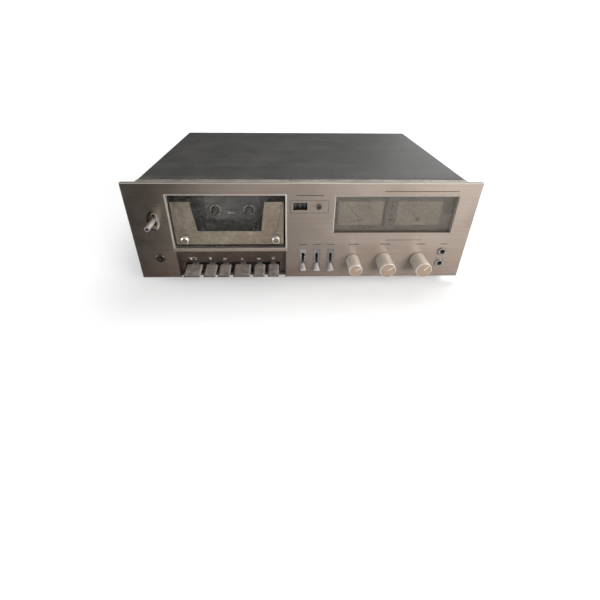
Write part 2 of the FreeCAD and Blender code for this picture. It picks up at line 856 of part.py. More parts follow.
def screw(name, turn, x, y, z):
    """A pan-head screw whose head sits at the given place and whose shank points along its own -Z."""
    head = doc.addObject("Part::Cylinder", name + "_head")
    tie(head, "Radius", "screw_head_radius")
    tie(head, "Height", "screw_head_tall")
    shank = doc.addObject("Part::Cylinder", name + "_shank")
    tie(shank, "Radius", "screw_radius")
    tie(shank, "Height", "screw_long")
    tie(shank, "Placement.Base.z", "-screw_long")
    item = fuse(name, head, shank)
    item.Placement.Rotation = turn
    return place(item, x, y, z)


def make_screws():
    screws = []
    for side in (-1, 1):
        turn = Rotation(Vector(0, 1, 0), 90 * side)
        for index, depth in enumerate(SCREW_DEPTHS):
            name = f"side_screw_{'left' if side < 0 else 'right'}_{index}"
            screws.append(screw(name, turn, f"{side} * half_case", f"front + {depth}", SIDE_SCREW_LEVEL))
    for index, (x, z) in enumerate(RIM_SPOTS):
        screws.append(screw(f"rim_screw_{index}", Rotation(Vector(1, 0, 0), -90), x, "case_back", z))
    for index, (x, y) in enumerate(FOOT_SPOTS):
        screws.append(screw(f"foot_screw_{index}", Rotation(Vector(1, 0, 0), 180), x, y,
                            "foot_tall - foot_floor"))
    group("case_screws", screws)


# Cassette bay

def make_bezel():
    body = new_body("door_bezel")
    outer = box_outline("bay_left", "bay_right", "low + bezel_low + trim_gap", "low + bezel_high")
    inner = box_outline("bay_left + bezel_side", "bay_right - bezel_side",
                        "low + bezel_low + bezel_sill", "low + bezel_high - bezel_top")
    pad(body, "XZ", [outer, inner], "front - bezel_proud", "panel_back")
    front = value("front - bezel_proud")
    soften(body, "Chamfer", "Size", "bezel_bevel", lambda spot: near(spot.y, front))


def make_key_panel():
    """A moulding that slopes in over the keys, with a wall down beside each end key and a sill below."""
    body = new_body("key_panel")
    slope = [("front", "key_panel_top"),
             ("front + key_panel_depth", "low + key_panel_slot_high"),
             ("key_panel_back", "low + key_panel_slot_high"),
             ("key_panel_back", "low + key_panel_slot_high + key_panel_wall"),
             ("front + key_panel_depth + key_panel_wall / 2", "low + key_panel_slot_high + key_panel_wall"),
             ("front + key_panel_wall", "key_panel_top")]
    sill = box_outline("front + panel_thick", "key_panel_back", "low", "low + key_panel_sill")
    cheek = [("front", "low"), ("key_panel_back", "low"),
             ("key_panel_back", "low + key_panel_slot_high + key_panel_wall"),
             ("front + panel_thick", "key_panel_top"), ("front", "key_panel_top")]
    pad(body, "YZ", [cheek], "key_panel_left", "key_panel_left + key_panel_cheek")
    pad(body, "YZ", [slope], "key_panel_left", "key_panel_right")
    wall = box_outline("front + key_panel_depth", "key_panel_back",
                       "low", "low + key_panel_slot_high + key_panel_wall")
    pad(body, "YZ", [wall], "key_panel_left", "key_stop_left - key_end_gap")
    pad(body, "YZ", [wall], "key_pause_left + key_pause_width + key_end_gap", "key_panel_right")
    pad(body, "YZ", [sill], "key_panel_left", "key_panel_right")
    pad(body, "YZ", [cheek], "key_panel_right - key_panel_cheek", "key_panel_right")


STUDS = ("stud_left", "stud_right")


def make_door():
    """The clear window with the brushed plate and the two studs that hold it to the cassette holder."""
    window = new_body("door_window")
    outline = box_outline("door_left", "door_right", "door_low", "door_high")
    pad(window, "XZ", [outline], "window_front", "window_back")
    front = value("window_front")
    soften(window, "Chamfer", "Size", "bezel_bevel", lambda spot: near(spot.y, front))
    holes = [ring_outline(x, "stud_level", "stud_core_radius + running_gap") for x in STUDS]
    pocket(window, "XZ", holes, "window_front", "window_back")
    plate = new_body("door_plate")
    outline = [("door_left", "plate_low"), ("door_right", "plate_low"), ("door_right", "plate_high"),
               ("bay_centre + cut_high_right", "plate_high"), ("bay_centre + cut_low_right", "cut_low"),
               ("bay_centre - cut_low_left", "cut_low"), ("bay_centre - cut_high_left", "plate_high"),
               ("door_left", "plate_high")]
    pad(plate, "XZ", [outline], "window_back", "plate_back")
    pocket(plate, "XZ", holes, "window_back", "plate_back")
    members = []
    for x in STUDS:
        outline = [("0", "window_front - stud_proud"),
                   ("stud_radius - stud_edge", "window_front - stud_proud"),
                   ("stud_radius", "window_front - stud_proud + stud_edge"), ("stud_radius", "window_front"),
                   ("stud_core_radius", "window_front"), ("stud_core_radius", "web_back"), ("0", "web_back")]
        members.append(turned("door_" + x, outline, x, "stud_level"))
    group("door_studs", members)


def make_holder():
    """Folded sheet that carries the cassette: front web, floor shelf, two side walls and two pivoted arms."""
    body = new_body("cassette_holder")
    web = [("door_left", "plate_low"), ("door_right", "plate_low"), ("door_right", "holder_high"),
           ("holder_right - holder_sheet", "holder_high"), ("holder_right - holder_sheet", "cut_low"),
           ("holder_left + holder_sheet", "cut_low"), ("holder_left + holder_sheet", "holder_high"),
           ("door_left", "holder_high")]
    pad(body, "XZ", [web], "holder_front", "web_back")
    shelf = box_outline("holder_left - holder_sheet", "holder_right + holder_sheet",
                        "holder_front", "cassette_back")
    pad(body, "XY", [shelf], "shelf_top - holder_sheet", "shelf_top")
    walls = (("holder_left - holder_sheet", "holder_left"), ("holder_right", "holder_right + holder_sheet"))
    for start, end in walls:
        wall = box_outline("holder_front", "cassette_back", "shelf_top - holder_sheet", "holder_high")
        pad(body, "YZ", [wall], start, end)
    arm = [("holder_front", "plate_low"), ("holder_front", "cut_low"), ("cassette_back", "cut_low"),
           ("cassette_back", "pivot_z + pivot_hub_radius"),
           ("pivot_y + pivot_hub_radius", "pivot_z - pivot_hub_radius"),
           ("pivot_y - pivot_hub_radius", "pivot_z - pivot_hub_radius"),
           ("pivot_y - pivot_hub_radius", "pivot_z + pivot_hub_radius"),
           ("front + arm_front_depth", "pivot_z + 2 * pivot_hub_radius"),
           ("front + arm_front_depth", "plate_low")]
    for start in ("door_left", "door_right - arm_sheet"):
        pad(body, "YZ", [arm], start, f"{start} + arm_sheet")
    pivot = ring_outline("pivot_y", "pivot_z", "pivot_radius + running_gap")
    pocket(body, "YZ", [pivot], "door_left - 1", "door_right + 1")
    head_way = box_outline("reel_centre + erase_shift - erase_wide / 2 - holder_slot_margin",
                           "capstan_x + roller_radius + holder_slot_margin",
                           "bridge_front - head_long - holder_slot_margin", "cassette_back + 1")
    pocket(body, "XY", [head_way], "shelf_top - holder_sheet - 1", "shelf_top + 1")
    stud_holes = [ring_outline(x, "stud_level", "stud_core_radius + running_gap") for x in STUDS]
    pocket(body, "XZ", stud_holes, "holder_front", "web_back")


# Tape transport

REELS = ("supply_x", "takeup_x")


def make_transport():
    body = new_body("transport_frame")
    plate = box_outline("ear_left", "ear_right", "low + transport_low", "low + transport_high")
    pad(body, "XZ", [plate], "transport_front", "transport_back")
    ear = [("pivot_y - pivot_hub_radius", "pan_top"), ("front + ear_depth", "pan_top"),
           ("front + ear_depth", "low + transport_low"), ("transport_back", "low + transport_low + ear_root"),
           ("transport_front", "low + transport_low + ear_root"),
           ("pivot_y - pivot_hub_radius", "low + transport_low")]
    for start in ("ear_left", "ear_right - transport_sheet"):
        pad(body, "YZ", [ear], start, f"{start} + transport_sheet")
    pivot = ring_outline("pivot_y", "pivot_z", "pivot_radius")
    pad(body, "YZ", [pivot], "ear_left", "door_left + arm_sheet + pivot_pin_spare")
    pad(body, "YZ", [pivot], "door_right - arm_sheet - pivot_pin_spare", "ear_right")
    boss = ring_outline("capstan_x", "capstan_z", "capstan_boss_radius")
    pad(body, "XZ", [boss], "transport_front - capstan_boss_long", "transport_front")
    guides = [ring_outline(x, "low + guide_height", "guide_radius") for x in GUIDES]
    pad(body, "XZ", guides, "bridge_front - 1", "transport_front")
    holes = [ring_outline(x, "reel_level", "spindle_shaft_radius + running_gap") for x in REELS]
    holes.append(ring_outline("capstan_x", "capstan_z", "capstan_radius + running_gap"))
    pocket(body, "XZ", holes, "transport_front - capstan_boss_long - 1", "transport_back + 1")
    shaft = ring_outline("key_shaft_y", "key_shaft_z", "key_shaft_radius")
    pocket(body, "YZ", [shaft], "ear_left - 1", "ear_right + 1")


GUIDES = ("reel_centre - guide_spacing / 2", "reel_centre + guide_spacing / 2")


def make_trim_plate():
    body = new_body("reel_trim_plate")
    outline = box_outline("supply_x - trim_plate_margin", "takeup_x + trim_plate_margin",
                          "low + trim_plate_low", "low + trim_plate_high")
    pad(body, "XZ", [outline], "transport_front - trim_plate_thick", "transport_front")
    holes = [ring_outline(x, "reel_level", "spindle_shaft_radius + guide_gap") for x in REELS]
    pocket(body, "XZ", holes, "transport_front - trim_plate_thick", "transport_front")


def make_spindle(name, x):
    """A reel spindle: tip, three fins, flange, shaft through the transport plate and drive disc behind."""
    flange_front = "cassette_back + trim_gap"
    flange_back = "cassette_back + trim_gap + spindle_flange_thick"
    tip = "cassette_back + trim_gap - spindle_long"
    disc = "transport_back + reel_disc_gap"
    outline = [("0", tip), ("spindle_tip_radius", tip), ("spindle_hub_radius", f"{tip} + spindle_tip_radius"),
               ("spindle_hub_radius", flange_front), ("spindle_flange_radius", flange_front),
               ("spindle_flange_radius", flange_back), ("spindle_shaft_radius", flange_back),
               ("spindle_shaft_radius", disc), ("reel_disc_radius", disc),
               ("reel_disc_radius", f"{disc} + reel_disc_thick"), ("0", f"{disc} + reel_disc_thick")]
    body = turned(name, outline, x, "reel_level")
    fin = box_outline("-spindle_fin_thick / 2", "spindle_fin_thick / 2", "0", "spindle_fin_reach")
    arm = pad(body, "XZ", [fin], f"{tip} + spindle_tip_radius", flange_front)
    fins = body.newObject("PartDesign::PolarPattern", name + "_fins")
    fins.Originals = [arm]
    fins.Axis = (arm.Profile[0], ["N_Axis"])
    fins.Angle = 360
    fins.Occurrences = 3
    body.Tip = fins


def make_capstan():
    """Flywheel with the capstan pressed into it. The flat belt runs on the rim between two low flanges."""
    tip = "cassette_front + capstan_tip_inset"
    collar_front = "flywheel_front - flywheel_collar"
    collar = "capstan_radius + flywheel_collar"
    groove_front = "flywheel_front + (flywheel_thick - belt_wide) / 2 - belt_side_room"
    groove_back = "flywheel_front + (flywheel_thick + belt_wide) / 2 + belt_side_room"
    floor = "flywheel_radius - flywheel_groove"
    end = "bracket_front - capstan_end_play"
    outline = [("0", tip), ("capstan_radius", tip), ("capstan_radius", collar_front), (collar, collar_front),
               (collar, "flywheel_front"), ("flywheel_radius", "flywheel_front"),
               ("flywheel_radius", groove_front),
               (floor, groove_front), (floor, groove_back), ("flywheel_radius", groove_back),
               ("flywheel_radius", "flywheel_back"), ("capstan_radius", "flywheel_back"),
               ("capstan_radius", end),
               ("0", end)]
    turned("capstan_flywheel", outline, "capstan_x", "capstan_z")


def make_motor():
    bore = "motor_shaft_radius + running_gap"
    can = [(bore, "transport_back"), ("motor_radius", "transport_back"),
           ("motor_radius", "motor_back - motor_edge"),
           ("motor_radius - motor_edge", "motor_back"), (bore, "motor_back")]
    turned("drive_motor", can, "motor_x", "motor_z")
    shaft_front = "transport_back + motor_shaft_inset"
    flange = "pulley_radius + pulley_flange"
    middle = "flywheel_front + flywheel_thick / 2"
    groove_front = f"{middle} - (belt_wide / 2 + belt_side_room)"
    groove_back = f"{middle} + (belt_wide / 2 + belt_side_room)"
    front, back = f"{groove_front} - pulley_flange_thick", f"{groove_back} + pulley_flange_thick"
    pulley = [("0", shaft_front), ("motor_shaft_radius", shaft_front), ("motor_shaft_radius", front),
              (flange, front), (flange, groove_front), ("pulley_radius", groove_front),
              ("pulley_radius", groove_back), (flange, groove_back), (flange, back), ("0", back)]
    turned("motor_pulley", pulley, "motor_x", "motor_z")


def belt_loop(grow):
    """Face of the shape that a belt round the two pulleys encloses, grown outward by a distance."""
    big, small = value("flywheel_radius - flywheel_groove") + grow, value("pulley_radius") + grow
    across = Vector(value("motor_x - capstan_x"), 0, value("motor_z - capstan_z"))
    lean = math.acos((big - small) / across.Length)
    heading = math.atan2(across.z, across.x)
    ends = []
    for turn in (lean, -lean):
        way = Vector(math.cos(heading + turn), 0, math.sin(heading + turn))
        ends.append((way * big, across + way * small))
    back, ahead = across * (-big / across.Length), across * (1 + small / across.Length)
    edges = [Part.LineSegment(ends[0][0], ends[0][1]).toShape(),
             Part.Arc(ends[0][1], ahead, ends[1][1]).toShape(),
             Part.LineSegment(ends[1][1], ends[1][0]).toShape(),
             Part.Arc(ends[1][0], back, ends[0][0]).toShape()]
    return Part.Face(Part.Wire(edges))


def make_belt():
    depth = value("flywheel_front + (flywheel_thick - belt_wide) / 2")
    reach = Vector(0, value("belt_wide"), 0)
    outer = belt_loop(value("belt_gap + belt_thick")).extrude(reach)
    inner = belt_loop(value("belt_gap")).extrude(reach)
    belt = doc.addObject("Part::Feature", "drive_belt")
    belt.Shape = outer.cut(inner)
    belt.Placement.Base = Vector(value("capstan_x"), depth, value("capstan_z"))


def make_bracket():
    """A strap behind the flywheel on two posts, with the thrust pad for the capstan's rear end."""
    body = new_body("flywheel_bracket")
    reach = "(flywheel_radius + bracket_post_gap + bracket_post_radius)"
    post_levels = [f"capstan_z {sign} {reach}" for sign in "-+"]
    plate = box_outline("capstan_x - bracket_half_width", "capstan_x + bracket_half_width",
                        f"{post_levels[0]} - bracket_post_radius - bracket_lip",
                        f"{post_levels[1]} + bracket_post_radius + bracket_lip")
    pad(body, "XZ", [plate], "bracket_front", "bracket_front + transport_sheet")
    posts = [ring_outline("capstan_x", level, "bracket_post_radius") for level in post_levels]
    pad(body, "XZ", posts, "transport_back", "bracket_front")


def make_bridge():
    """The sliding plate that lifts the heads and the pinch roller to the tape."""
    left, right = "reel_centre - bridge_half_width", "reel_centre + bridge_half_width"
    body = new_body("head_bridge")
    plate = box_outline(left, right, "low + bridge_low", "low + bridge_high")
    pad(body, "XZ", [plate], "bridge_front", "bridge_back")
    slots = [box_outline(f"{x} - guide_radius - guide_gap", f"{x} + guide_radius + guide_gap",
                         "low + guide_height - bridge_travel - guide_radius - guide_gap",
                         "low + guide_height + guide_radius + guide_gap") for x in GUIDES]
    pocket(body, "XZ", slots, "bridge_front", "bridge_back")
    pin = ring_outline("capstan_x", "roller_z", "roller_pin_radius")
    pad(body, "XZ", [pin], "roller_front - roller_pin_spare", "bridge_front")
    shoulder = ring_outline("capstan_x", "roller_z", "roller_pin_radius + roller_shoulder")
    pad(body, "XZ", [shoulder], "bridge_front - roller_shoulder_long", "bridge_front")


def make_head(name, x, wide):
    """A magnetic head: a case with a rounded nose towards the tape."""
    body = new_body(name)
    top = "low + head_top"
    outline = box_outline(f"{x} - {wide} / 2", f"{x} + {wide} / 2", f"{top} - head_tall", top)
    pad(body, "XZ", [outline], "bridge_front - head_long", "bridge_front")
    left, right, level = value(f"{x} - {wide} / 2"), value(f"{x} + {wide} / 2"), value(top)
    soften(body, "Fillet", "Radius", "head_nose_radius",
           lambda spot: near(spot.z, level) and (near(spot.x, left) or near(spot.x, right)))
    return body


def make_roller():
    bore = "roller_pin_radius + running_gap"
    outline = [(bore, "roller_front"), ("roller_radius", "roller_front"), ("roller_radius", "roller_back"),
               (bore, "roller_back")]
    turned("pinch_roller", outline, "capstan_x", "roller_z")


# Keys

def make_key(name):
    """A piano key: a sloping plate outside, and a narrower stem inside that turns on the key shaft."""
    left, width = f"key_{name}_left", f"key_{name}_width"
    rear = "front + key_panel_depth"
    body = new_body("key_" + name)
    blade = [("front - key_reach", "low + key_front_height"), (rear, "low + key_rear_height"),
             (rear, "low + key_rear_height - key_thick"),
             ("front - key_reach", "low + key_front_height - key_front_tall")]
    pad(body, "YZ", [blade], left, f"{left} + {width}")
    top_front, level = value("front - key_reach"), value("low + key_front_height")
    rear_value, rear_level = value(rear), value("low + key_rear_height")
    soften(body, "Chamfer", "Size", "key_side_bevel",
           lambda spot: (near(spot.y, (top_front + rear_value) / 2) and near(spot.z, (level + rear_level) / 2)))
    soften(body, "Chamfer", "Size", "key_edge",
           lambda spot: (near(spot.y, top_front) and near(spot.z, level)
                         or near(spot.y, rear_value) and near(spot.z, rear_level)))
    middle = f"{left} + {width} / 2"
    stem = [(rear, "low + key_rear_height"), ("key_shaft_y", "key_shaft_z + key_hub_radius - key_stem_taper"),
            ("key_shaft_y", "key_shaft_z - key_hub_radius + key_stem_taper"),
            (rear, "low + key_rear_height - key_thick")]
    pad(body, "YZ", [stem], f"{middle} - key_stem_width / 2", f"{middle} + key_stem_width / 2")
    hub = ring_outline("key_shaft_y", "key_shaft_z", "key_hub_radius")
    pad(body, "YZ", [hub], f"{middle} - key_stem_width / 2", f"{middle} + key_stem_width / 2")
    bore = ring_outline("key_shaft_y", "key_shaft_z", "key_shaft_radius + running_gap")
    pocket(body, "YZ", [bore], f"{middle} - key_stem_width", f"{middle} + key_stem_width")


def make_key_shaft():
    rod("key_shaft", "X", "key_shaft_radius", "ear_left", "ear_right", "key_shaft_y", "key_shaft_z")


# Levers

def roofed_outline(wide, tall):
    """An outline with upright sides, and a ridge above and below whose slopes are lever_roof."""
    ridge = f"({tall} / 2 + lever_roof * {wide} / 2)"
    side, edge = f"{wide} / 2", f"{tall} / 2"
    return [(f"-{side}", f"-{edge}"), ("0", f"-{ridge}"), (side, f"-{edge}"),
            (side, edge), ("0", ridge), (f"-{side}", edge)]


def make_lever(name, x):
    """A selector lever, drawn about its pivot with its tip along -Y, then leaned down to its rest."""
    reach = "(lever_reach + lever_pivot_depth)"
    body = new_body("selector_lever_" + name)
    tip_back = f"-{reach} + lever_reach - lever_stand_off"
    blade = box_outline(f"{tip_back} - 1", "0", "-lever_blade_tall / 2", "lever_blade_tall / 2")
    pad(body, "YZ", [blade], "-lever_blade / 2", "lever_blade / 2")
    hub = ring_outline("0", "0", "lever_blade_tall / 2 + pivot_wall")
    pad(body, "YZ", [hub], "-lever_blade / 2", "lever_blade / 2")
    neck = draw(body, "XZ", [roofed_outline("lever_neck", "lever_neck_tall")], tip_back)
    end = draw(body, "XZ", [roofed_outline("lever_tip_wide", "lever_edge_tall")], f"-{reach}")
    tip = body.newObject("PartDesign::AdditiveLoft", body.Name + "_tip")
    tip.Profile = neck
    tip.Sections = [end]
    tip.Ruled = True
    body.Tip = tip
    bore = ring_outline("0", "0", "pin_radius + running_gap")
    pocket(body, "YZ", [bore], "-lever_blade", "lever_blade")
    lean(body, Vector(1, 0, 0), "lever_rest_angle")
    place(body, x, "front + lever_pivot_depth", "low + lever_height")


def switch_frame(name, x, y, z):
    """A switch body with a slot for its lever's blade and a pin across the slot."""
    half = "(lever_blade / 2 + switch_gap)"
    outer = block(name + "_case", (f"{x} - {half} - switch_wall", f"{x} + {half} + switch_wall"),
                  (f"{y} - switch_deep / 2", f"{y} + switch_deep / 2"),
                  (f"{z} - switch_tall / 2", f"{z} + switch_tall / 2"))
    slot = block(name + "_slot", (f"{x} - {half}", f"{x} + {half}"),
                 (f"{y} - switch_deep / 2 - 1", f"{y} + switch_deep / 2 - switch_wall"),
                 (f"{z} - switch_tall / 2 - 1", f"{z} + switch_tall / 2 + 1"))
    pin = rod(name + "_pin", "X", "pin_radius",
              f"{x} - {half} - switch_wall", f"{x} + {half} + switch_wall", y, z)
    return fuse(name, cut(name + "_frame", outer, slot), pin)


def make_surround(name, x):
    outer = block(f"surround_{name}_plate", (f"{x} - surround_wide / 2", f"{x} + surround_wide / 2"),
                  ("front - surround_proud", "front"),
                  ("low + lever_height - surround_tall / 2", "low + lever_height + surround_tall / 2"))
    slot = block(f"surround_{name}_slot", (f"{x} - slot_wide / 2", f"{x} + slot_wide / 2"),
                 ("front - surround_proud - 1", "front + 1"),
                 ("low + lever_height - slot_tall / 2", "low + lever_height + slot_tall / 2"))
    ring = cut(f"surround_{name}_ring", outer, slot)
    doc.recompute()
    face = value("front - surround_proud")
    half = value("surround_wide / 2")
    centre = value(x)
    rim = doc.addObject("Part::Chamfer", f"surround_{name}")
    rim.Base = ring
    names = edges_where(ring.Shape, lambda spot: near(spot.y, face) and near(abs(spot.x - centre), half))
    bevel = value("surround_bevel")
    rim.Edges = [(int(name.removeprefix("Edge")), bevel, bevel) for name in names]
    return rim


def make_selectors():
    group("lever_surrounds", [make_surround(name, x) for name, x in LEVERS.items()])
    for name, x in LEVERS.items():
        make_lever(name, x)
    frames = [switch_frame(f"lever_switch_{name}", x, "front + lever_pivot_depth", "low + lever_height")
              for name, x in LEVERS.items()]
    group("lever_switches", frames)


def make_power():
    """A round chrome lever whose flat blade passes the slot in the panel and turns on the switch's pin."""
    pivot = ("front + power_pivot_depth", "low + power_height")
    grip = rod("power_grip", "Y", "power_radius", "-power_reach - power_pivot_depth",
               "-power_pivot_depth - power_neck", 0, 0)
    blade = block("power_blade", ("-lever_blade / 2", "lever_blade / 2"),
                  ("-power_pivot_depth - power_neck - 1", 0),
                  ("-lever_blade_tall / 2", "lever_blade_tall / 2"))
    hub = rod("power_hub", "X", "lever_blade_tall / 2 + pivot_wall",
              "-lever_blade / 2", "lever_blade / 2", 0, 0)
    bore = rod("power_bore", "X", "pin_radius + running_gap", "-lever_blade", "lever_blade", 0, 0)
    lever = cut("power_lever", fuse("power_solid", grip, blade, hub), bore)
    place(lever, "power_x", *pivot)
    switch_frame("power_switch", "power_x", *pivot)


# Knobs and their controls

def make_knob(name, x, radius, angle):
    """A knob with its shaft in one piece, and a pointer line cut across its front from the centre out."""
    face = "front - knob_reach"
    back = "front - knob_gap"
    outline = [("0", face), (f"{radius} - knob_bevel", face), (radius, f"{face} + knob_bevel"),
               (radius, back),
               ("knob_recess_radius", back), ("knob_recess_radius", f"{back} - knob_recess"),
               ("shaft_radius", f"{back} - knob_recess"), ("shaft_radius", "panel_back + control_long"),
               ("0", "panel_back + control_long")]
    body = turned(f"{name}_knob", outline, x, "low + knob_height")
    line = box_outline("-knob_pointer_wide / 2", "knob_pointer_wide / 2", 0, f"{radius} - knob_bevel")
    pocket(body, "XZ", [line], face, f"{face} + knob_pointer_deep")
    lean(body, Vector(0, 1, 0), angle)


def make_control(name, x):
    bore = "shaft_radius + running_gap"
    floor = "panel_back + control_long + shaft_end_gap"
    back = "panel_back + control_long + control_end"
    outline = [(bore, "front - nut_tall"), ("nut_radius", "front - nut_tall"), ("nut_radius", "front"),
               ("bushing_radius", "front"), ("bushing_radius", "panel_back"),
               ("control_radius", "panel_back"),
               ("control_radius", back), ("0", back), ("0", floor), (bore, floor)]
    return turned("control_" + name, outline, x, "low + knob_height")


def make_knobs():
    for name, (x, radius, angle) in KNOBS.items():
        make_knob(name, x, radius, angle)
    group("level_controls", [make_control(name, spot[0]) for name, spot in KNOBS.items()])


# Jacks

def make_jack(name, x, height):
    outline = [("jack_bore_radius", "front - jack_proud"),
               ("jack_nut_radius - jack_edge", "front - jack_proud"),
               ("jack_nut_radius", "front - jack_proud + jack_edge"), ("jack_nut_radius", "front"),
               ("jack_barrel_radius", "front"), ("jack_barrel_radius", "panel_back"),
               ("jack_body_radius", "panel_back"), ("jack_body_radius", "panel_back + jack_body_long"),
               ("jack_bore_radius", "panel_back + jack_body_long")]
    return turned(name, outline, x, f"low + {height}")


def make_jacks():
    make_jack("phones_jack", "phones_x", "phones_height")
    group("microphone_jacks", [make_jack("microphone_upper", "jack_x", "jack_upper_height"),
                               make_jack("microphone_lower", "jack_x", "jack_lower_height")])


# Level meters

def make_meters():
    glass = new_body("meter_window")
    outline = box_outline("meter_left + trim_gap", "meter_right - trim_gap",
                          "low + meter_low + trim_gap", "low + meter_high - trim_gap")
    pad(glass, "XZ", [outline], "front + meter_glass_depth", "front + meter_glass_depth + meter_glass_thick")
    case = new_body("meter_case")
    outer = box_outline("meter_left - meter_wall", "meter_right + meter_wall",
                        "low + meter_low - meter_wall", "low + meter_high + meter_wall")
    inner = box_outline("meter_left", "meter_right", "low + meter_low", "low + meter_high")
    pad(case, "XZ", [outer], "panel_back", "panel_back + meter_case_deep")
    pocket(case, "XZ", [inner], "panel_back", "panel_back + meter_case_deep - meter_wall")
    divider = box_outline("lamp_x - divider_width / 2", "lamp_x + divider_width / 2",
                          "low + meter_low", "low + meter_high")
    pad(case, "XZ", [divider], "front + divider_depth", "panel_back + meter_case_deep")
    bands = [box_outline("meter_left", "meter_right", "low + meter_low", "low + dial_low"),
             box_outline("meter_left", "meter_right", "low + dial_high", "low + meter_high")]
    pad(case, "XZ", bands, "front + meter_dial_depth", "panel_back + meter_case_deep")
    side = box_outline("dial_right_x + dial_width / 2", "meter_right", "low + dial_low", "low + dial_high")
    pad(case, "XZ", [side], "front + meter_dial_depth", "panel_back + meter_case_deep")
    levels = [f"low + meter_low + {rise}" for rise in ("lamp_upper_rise", "lamp_lower_rise")]
    sockets = [ring_outline("lamp_x", level, "lamp_radius + trim_gap") for level in levels]
    start, end = "front + divider_depth - lamp_proud", "front + divider_depth + lamp_long"
    pocket(case, "XZ", sockets, "front + divider_depth", end)
    outline = [("0", start), ("lamp_radius - lamp_edge", start), ("lamp_radius", f"{start} + lamp_edge"),
               ("lamp_radius", end), ("0", end)]
    group("peak_lamps", [turned(f"peak_lamp_{index}", outline, "lamp_x", level)
                         for index, level in enumerate(levels)])


def dial(name, x):
    plate = block(name + "_plate", (f"{x} - dial_width / 2", f"{x} + dial_width / 2"),
                  ("front + meter_dial_depth", "front + meter_dial_depth + dial_sheet"),
                  ("low + dial_low", "low + dial_high"))
    works = block(name + "_works", (f"{x} - dial_width / 2 + dial_works_inset",
                                    f"{x} + dial_width / 2 - dial_works_inset"),
                  ("front + meter_dial_depth + dial_sheet", "panel_back + meter_case_deep - meter_wall"),
                  ("low + dial_low", "low + dial_high - dial_works_drop"))
    pin = rod(name + "_pin", "Y", "pin_radius", "front + meter_dial_depth - needle_gap - dial_sheet",
              "front + meter_dial_depth", x, "low + needle_height")
    return fuse(name, plate, works, pin)


def make_needle(name, x):
    """A needle drawn upright about its pivot, then leaned left to the scale's rest."""
    back = "front + meter_dial_depth - needle_gap / 2"
    hub = rod(f"needle_{name}_hub", "Y", "needle_hub_radius", f"{back} - dial_sheet", back, 0, 0)
    blade = block(f"needle_{name}_blade", ("-needle_wide / 2", "needle_wide / 2"),
                  (f"{back} - dial_sheet", f"{back} - dial_sheet / 2"), ("0", "needle_long"))
    bore = rod(f"needle_{name}_bore", "Y", "pin_radius + running_gap", f"{back} - 3", f"{back} + 1", 0, 0)
    needle = cut(f"needle_{name}", fuse(f"needle_{name}_solid", hub, blade), bore)
    lean(needle, Vector(0, 1, 0), "-needle_rest_angle")
    place(needle, x, 0, "low + needle_height")


# Tape counter

WHEELS = {"hundreds": -1, "tens": 0, "units": 1}


def make_counter():
    left = f"counter_centre_x - {len(WHEELS)} / 2 * wheel_pitch - wheel_side_room"
    right = f"counter_centre_x + {len(WHEELS)} / 2 * wheel_pitch + wheel_side_room"
    level = "low + counter_height"
    depth = "front + wheel_depth"
    reach = "(wheel_radius + wheel_room)"
    outer = block("counter_outer", (f"{left} - counter_wall", "reset_x + reset_radius + reset_wall"),
                  ("panel_back", f"{depth} + {reach} + counter_wall"),
                  (f"{level} - {reach} - counter_wall", f"{level} + {reach} + counter_wall"))
    hollow = block("counter_hollow", (left, right), ("panel_back - 1", f"{depth} + {reach}"),
                   (f"{level} - {reach}", f"{level} + {reach}"))
    guide = rod("counter_guide", "Y", "reset_stem_radius + running_gap", "panel_back - 1",
                f"{depth} + {reach} + counter_wall + 1", "reset_x", level)
    seat = rod("counter_seat", "Y", "reset_radius + guide_gap", "panel_back - 1",
               "panel_back + reset_collar + reset_travel + reset_room", "reset_x", level)
    shaft = rod("counter_shaft", "X", "wheel_shaft_radius", f"{left} - counter_wall / 2",
                f"{right} + counter_wall / 2", depth, level)
    fuse("counter_frame", cut("counter_shell", outer, fuse("counter_tools", hollow, guide, seat)), shaft)
    for name, step in WHEELS.items():
        middle = f"counter_centre_x + {step} * wheel_pitch"
        start, end = f"{middle} - (wheel_pitch - wheel_gap) / 2", f"{middle} + (wheel_pitch - wheel_gap) / 2"
        wheel = rod(f"wheel_{name}_rim", "X", "wheel_radius", start, end, depth, level)
        bore = rod(f"wheel_{name}_bore", "X", "wheel_shaft_radius + running_gap",
                   f"{start} - 1", f"{end} + 1", depth, level)
        cut(f"counter_wheel_{name}", wheel, bore)
    cap, stem_end = "front - reset_proud", "front + wheel_depth + wheel_radius"
    outline = [("0", cap), ("reset_radius - reset_edge", cap), ("reset_radius", f"{cap} + reset_edge"),
               ("reset_radius", "panel_back + reset_collar"),
               ("reset_stem_radius", "panel_back + reset_collar"),
               ("reset_stem_radius", stem_end), ("0", stem_end)]
    turned("reset_button", outline, "reset_x", level)


# Inside and rear

def make_board():
    board = block("board_sheet_blank", ("board_right - board_width", "board_right"),
                  ("board_front", "board_front + board_deep"), ("board_level", "board_level + board_sheet"))
    surface = "board_level + board_sheet"
    parts = [board]
    for index in range(3):
        x = f"board_right - board_width * ({index} + 1) / 5"
        y = f"board_front + capacitor_front - {index} * capacitor_step"
        circuit_front = f"{y} + capacitor_radius + circuit_gap"
        parts.append(rod(f"capacitor_{index}", "Z", "capacitor_radius", surface,
                         f"{surface} + capacitor_tall", x, y))
        parts.append(block(f"circuit_{index}", (f"{x} - circuit_width / 2", f"{x} + circuit_width / 2"),
                           (circuit_front, f"{circuit_front} + circuit_deep"),
                           (surface, f"{surface} + circuit_tall")))
    fuse("main_board", *parts)


